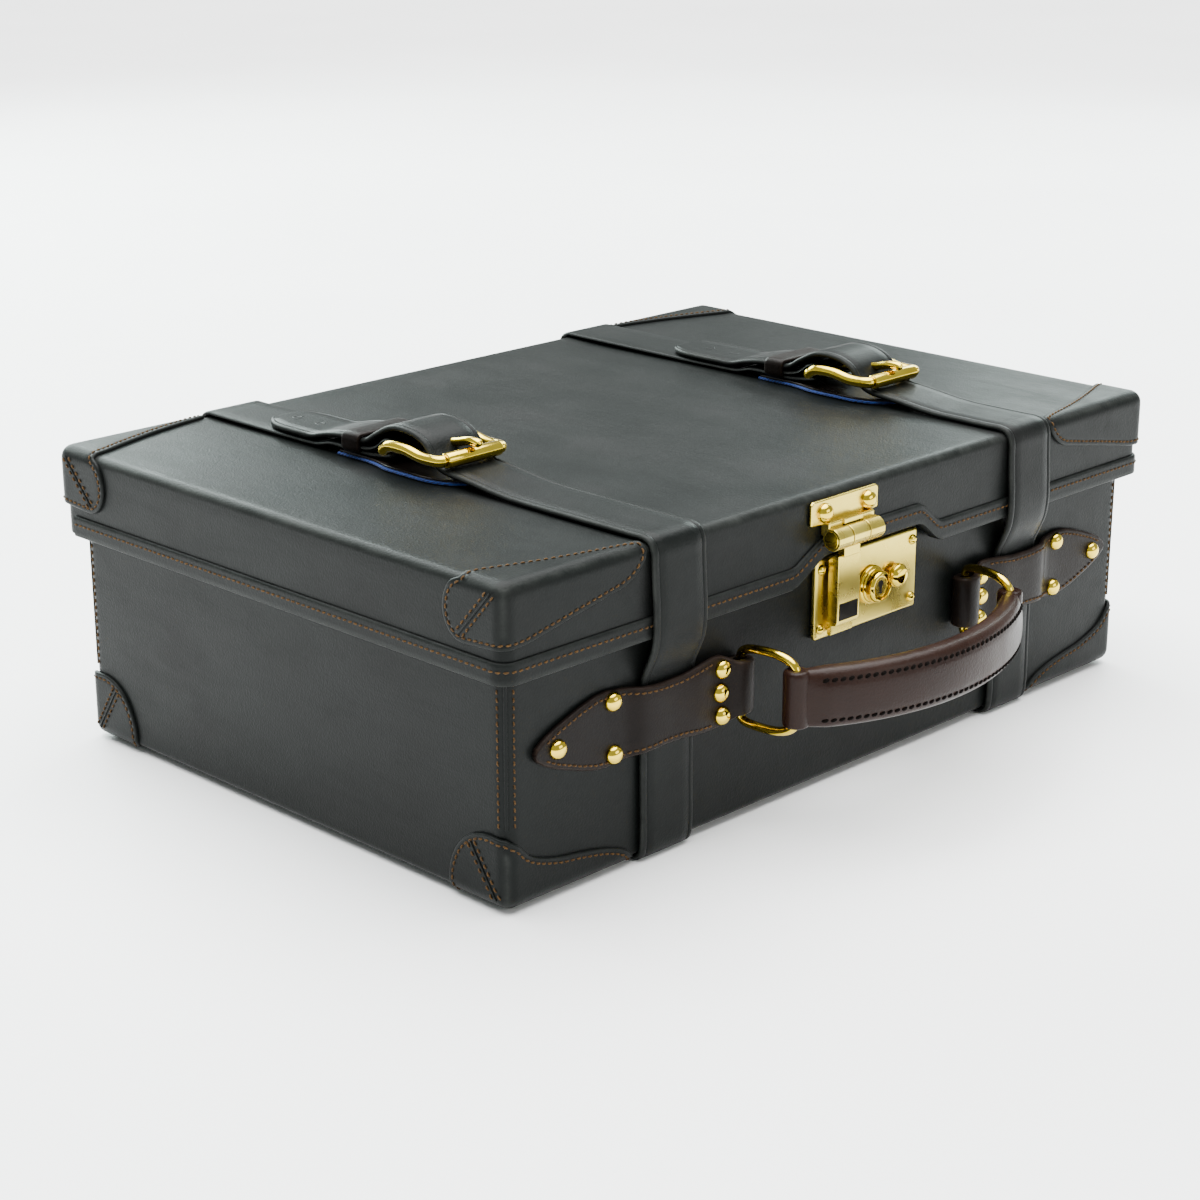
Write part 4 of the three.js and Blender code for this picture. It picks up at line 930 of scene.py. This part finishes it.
hasp_low, hasp_high = span("hasp_plate")
leaf_low, leaf_high = span("hasp_leaf")
hasp_x = (leaf_low[0] + leaf_high[0]) / 2
pin_low, pin_high = span("hasp_pin")
axis_y, axis_z = (pin_low[1] + pin_high[1]) / 2, (pin_low[2] + pin_high[2]) / 2
lid_front = lid_low[1] - 0.3
hasp_plate_thickness = 2.0
wing = [(hasp_low[0], 137.4), (hasp_x - 16.8, 136.9), (hasp_x + 16.8, 136.9), (hasp_high[0], 137.4),
        (hasp_high[0], 147.4), (hasp_high[0] - 1.6, 149), (hasp_low[0] + 1.6, 149), (hasp_low[0], 147.4)]
prism("hasp_top_plate", [wing], "XZ", lid_front - hasp_plate_thickness, hasp_plate_thickness, 0.7, satin, "lid",
      replaces=("hasp_plate",))
neck = rectangle(axis_y + 1.5, 131.5, lid_front - 0.4, 138.4)
bridge = rectangle(axis_y + 0.4, 136.3, lid_front - 0.4, 138.6)
for name, outline, start, depth, bevel in (("neck", neck, -16.6, 10.2, 0.8), ("neck_bridge", bridge, -6.8, 13.6, 0.3),
                                           ("neck_right", neck, 6.4, 10.2, 0.8)):
    prism(f"hasp_{name}", [outline], "YZ", hasp_x + start, depth, bevel, satin, "lid")
rounds = [(axis_y + 5.5 * math.cos(a), axis_z + 5.5 * math.sin(a)) for a in np.radians(np.arange(0, 360, 30) + 15)]
for name, start, depth, body in (("left", -16.8, 10.4, "lid"), ("right", 6.4, 10.4, "lid"),
                                 ("middle", -5.8, 11.6, "hasp")):
    prism(f"hasp_knuckle_{name}", [rounds], "YZ", hasp_x + start, depth, 0.45, satin, body)
turned("hasp_pin_ends", [(0.0, 17.05), (3.9, 17.0), (4.2, 16.8), (4.2, 16.2), (0.0, 16.2)],
       [(hasp_x, axis_y, axis_z)], (-1, 0, 0), polished, "lid", 28)
leaf_front = -164.5 + middle_y
# A dark plate on the leaf's front, just above its lip, paints the dark reflection of the case in the brass.
leaf_dark_reflection = rectangle(leaf_low[0] + 1.2, 87.6, leaf_high[0] - 1.2, 96.2)
prism("hasp_leaf_painted_reflection", [leaf_dark_reflection], "XZ", leaf_front - 0.1, 0.5, 0.15, painted_dark_metal, "hasp", 2)
rivets = [(hasp_x + side * 15.8, lid_front - hasp_plate_thickness, 142.6) for side in (-1, 1)]
turned("hasp_rivets", dome, rivets, (0, -1, 0), polished, "lid", 36)
# The leaf's side view as (back from its front face, height): a thick blade with a lip to lift it by.
blade = [(0, 120.2), (0, 87.2), (0.9, 85.2), (3.6, 84.6), (3.6, 80.4), (4.3, 79.7), (5.9, 79.7), (6.3, 80.4),
         (6.3, 117.5), (3.1, 120.4)]
prism("hasp_leaf_blade", [[(leaf_front + back, height) for back, height in blade]], "YZ", leaf_low[0],
      leaf_high[0] - leaf_low[0], 0.7, satin, "hasp", replaces=("hasp_leaf",))
tongue = rectangle(leaf_front - 1.5, 119.4, leaf_front + 2.8, 128)
prism("hasp_leaf_tongue", [tongue], "YZ", hasp_x - 5.7, 11.4, 0.5, satin, "hasp")

# ---- rear hinges ----
hinge_half, hinge_gauge = 22, 1.4
for k in (1, 2, 3):
    low, high = span(f"hinge_lid_leaf_{k}")
    x = (low[0] + high[0]) / 2
    pivot = span(f"hinge_pin_{k}")
    pivot_y, pivot_z = (pivot[0][1] + pivot[1][1]) / 2, (pivot[0][2] + pivot[1][2]) / 2
    left, right = x - hinge_half, x + hinge_half
    leaf = [(left, 112.8), (x - 7, 112.8), (x - 7, 110), (x + 7, 110), (x + 7, 112.8), (right, 112.8),
            (right, 128.4), (right - 2.6, 131), (left + 2.6, 131), (left, 128.4)]
    prism(f"hinge_upper_plate_{k}", [leaf], "XZ", low[1], hinge_gauge, 0.45, satin, "lid",
          replaces=(f"hinge_lid_leaf_{k}",))
    turned(f"hinge_upper_knuckle_{k}", [(1.6, -7), (2.7, -7), (3, -6.7), (3, 6.7), (2.7, 7), (1.6, 7)],
           [(x, pivot_y, pivot_z)], (1, 0, 0), satin, "lid", 32, closed=True)
    low, high = span(f"hinge_base_leaf_{k}")
    leaf = [(left + 2.6, 84), (right - 2.6, 84), (right, 86.6), (right, 106.6), (left, 106.6), (left, 86.6)]
    prism(f"hinge_lower_plate_{k}", [leaf], "XZ", low[1], hinge_gauge, 0.45, satin, "base",
          replaces=(f"hinge_base_leaf_{k}",))
    arms = [rectangle(start, low[1] + 0.2, end, pivot_y + 1.4) for start, end in ((left, x - 7.6), (x + 7.6, right))]
    prism(f"hinge_lower_arm_{k}", arms, "XY", 104.3, 2.4, 0.5, satin, "base")
    turned(f"hinge_lower_knuckles_{k}", [(1.6, -7.2), (2.7, -7.2), (3, -6.9), (3, 6.9), (2.7, 7.2), (1.6, 7.2)],
           [(x + side * 14.7, pivot_y, pivot_z) for side in (-1, 1)], (1, 0, 0), satin, "base", 32, closed=True)
    screw = [(0.0, 0.5), (2.0, 0.45), (2.9, 0.2), (3.0, 0.0), (0.0, 0.0)]
    for level, y, z, body in (("upper", low[1] + 7.9, 123, "lid"), ("lower", low[1] + hinge_gauge, 93, "base")):
        turned(f"hinge_{level}_screws_{k}", screw, [(x + side * 14, y, z) for side in (-1, 0, 1)], (0, 1, 0),
               polished, body, 24)

# CAD nodes that keep their own shape take their real finish.
for node_name, material in [("base_lining", lining), ("lid_lining", lining), ("lock_case", steel), ("lock_bolt", steel),
                            ("hasp_pin", polished)] + [(f"hinge_pin_{k}", steel) for k in (1, 2, 3)]:
    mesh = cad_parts[node_name].data
    mesh.materials.clear()
    mesh.materials.append(material)

# ---- floor, lights and camera ----
floor_half = 25  # metres
floor_corners = [(floor_half * a, floor_half * b, 0) for a, b in rectangle(-1, -1, 1, 1)]
floor_mesh = bpy.data.meshes.new("floor")
floor_mesh.from_pydata(floor_corners, [], [(0, 1, 2, 3)])
floor_object = bpy.data.objects.new("floor", floor_mesh)
floor_object.location.z = float(cad_low[2]) - 0.0002
bpy.context.scene.collection.objects.link(floor_object)
paper, tree, shader, place = new_material("white_paper_floor", Roughness=0.6)
shade = add_node(tree, "ShaderNodeTexNoise", {"Vector": place}, {"Scale": 3.0, "Detail": 2.0})
tree.links.new(ramp(tree, shade.outputs["Fac"], [(0.3, "#f4f4f4"), (0.7, "#f8f8f8")]), shader.inputs["Base Color"])
floor_mesh.materials.append(paper)
floor_object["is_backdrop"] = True

world = bpy.data.worlds.new("studio")
bpy.context.scene.world = world
world.use_nodes = True
world.node_tree.nodes["Background"].inputs["Color"].default_value = (0.93, 1.0, 0.98, 1)
world.node_tree.nodes["Background"].inputs["Strength"].default_value = 0.6


def softbox(name, place, aim, size, power, colour):
    """A rectangular studio light at a place, facing a point."""
    light = bpy.data.lights.new(name, "AREA")
    light.shape = "RECTANGLE"
    light.size, light.size_y = size
    light.energy = power
    light.color = linear(colour)[:3]
    made = bpy.data.objects.new(name, light)
    made.location = place
    made.rotation_euler = (Vector(aim) - Vector(place)).to_track_quat("-Z", "Y").to_euler()
    bpy.context.scene.collection.objects.link(made)


softbox("overhead_softbox", (0.1, 0.4, 2.2), (0, 0, 0), (2.2, 2.0), 60, "#f6fbfa")
# A very wide sun stands for the even light from a white ceiling.
sky = bpy.data.lights.new("ceiling_light", "SUN")
sky.energy, sky.angle = 10.5, math.radians(80)
sky_object = bpy.data.objects.new("ceiling_light", sky)
sky_object.rotation_euler = (math.radians(-8), math.radians(5), 0)
bpy.context.scene.collection.objects.link(sky_object)
softbox("back_left_softbox", (0.3, 2.2, 1.05), (0, 0, 0.1), (1.7, 0.9), 95, "#e6f7f3")
softbox("back_right_softbox", (2.2, 0.8, 1.0), (0, 0, 0.1), (1.0, 0.8), 30, "#e6f7f3")
softbox("front_softbox", (0.5, -2.0, 0.9), (0, 0, 0.1), (1.4, 0.8), 14, "#fffdf8")

camera = bpy.data.cameras.new("camera")
camera.lens, camera.sensor_width = 76.5, 36.0
camera.clip_start, camera.clip_end = 0.05, 60.0
camera_object = bpy.data.objects.new("camera", camera)
camera_object.location = (-0.9135, -0.8581, 0.4819)
camera_object.rotation_euler = Vector((0.67462, 0.66587, -0.31860)).to_track_quat("-Z", "Y").to_euler()
bpy.context.scene.collection.objects.link(camera_object)
bpy.context.scene.camera = camera_object

low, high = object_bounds()
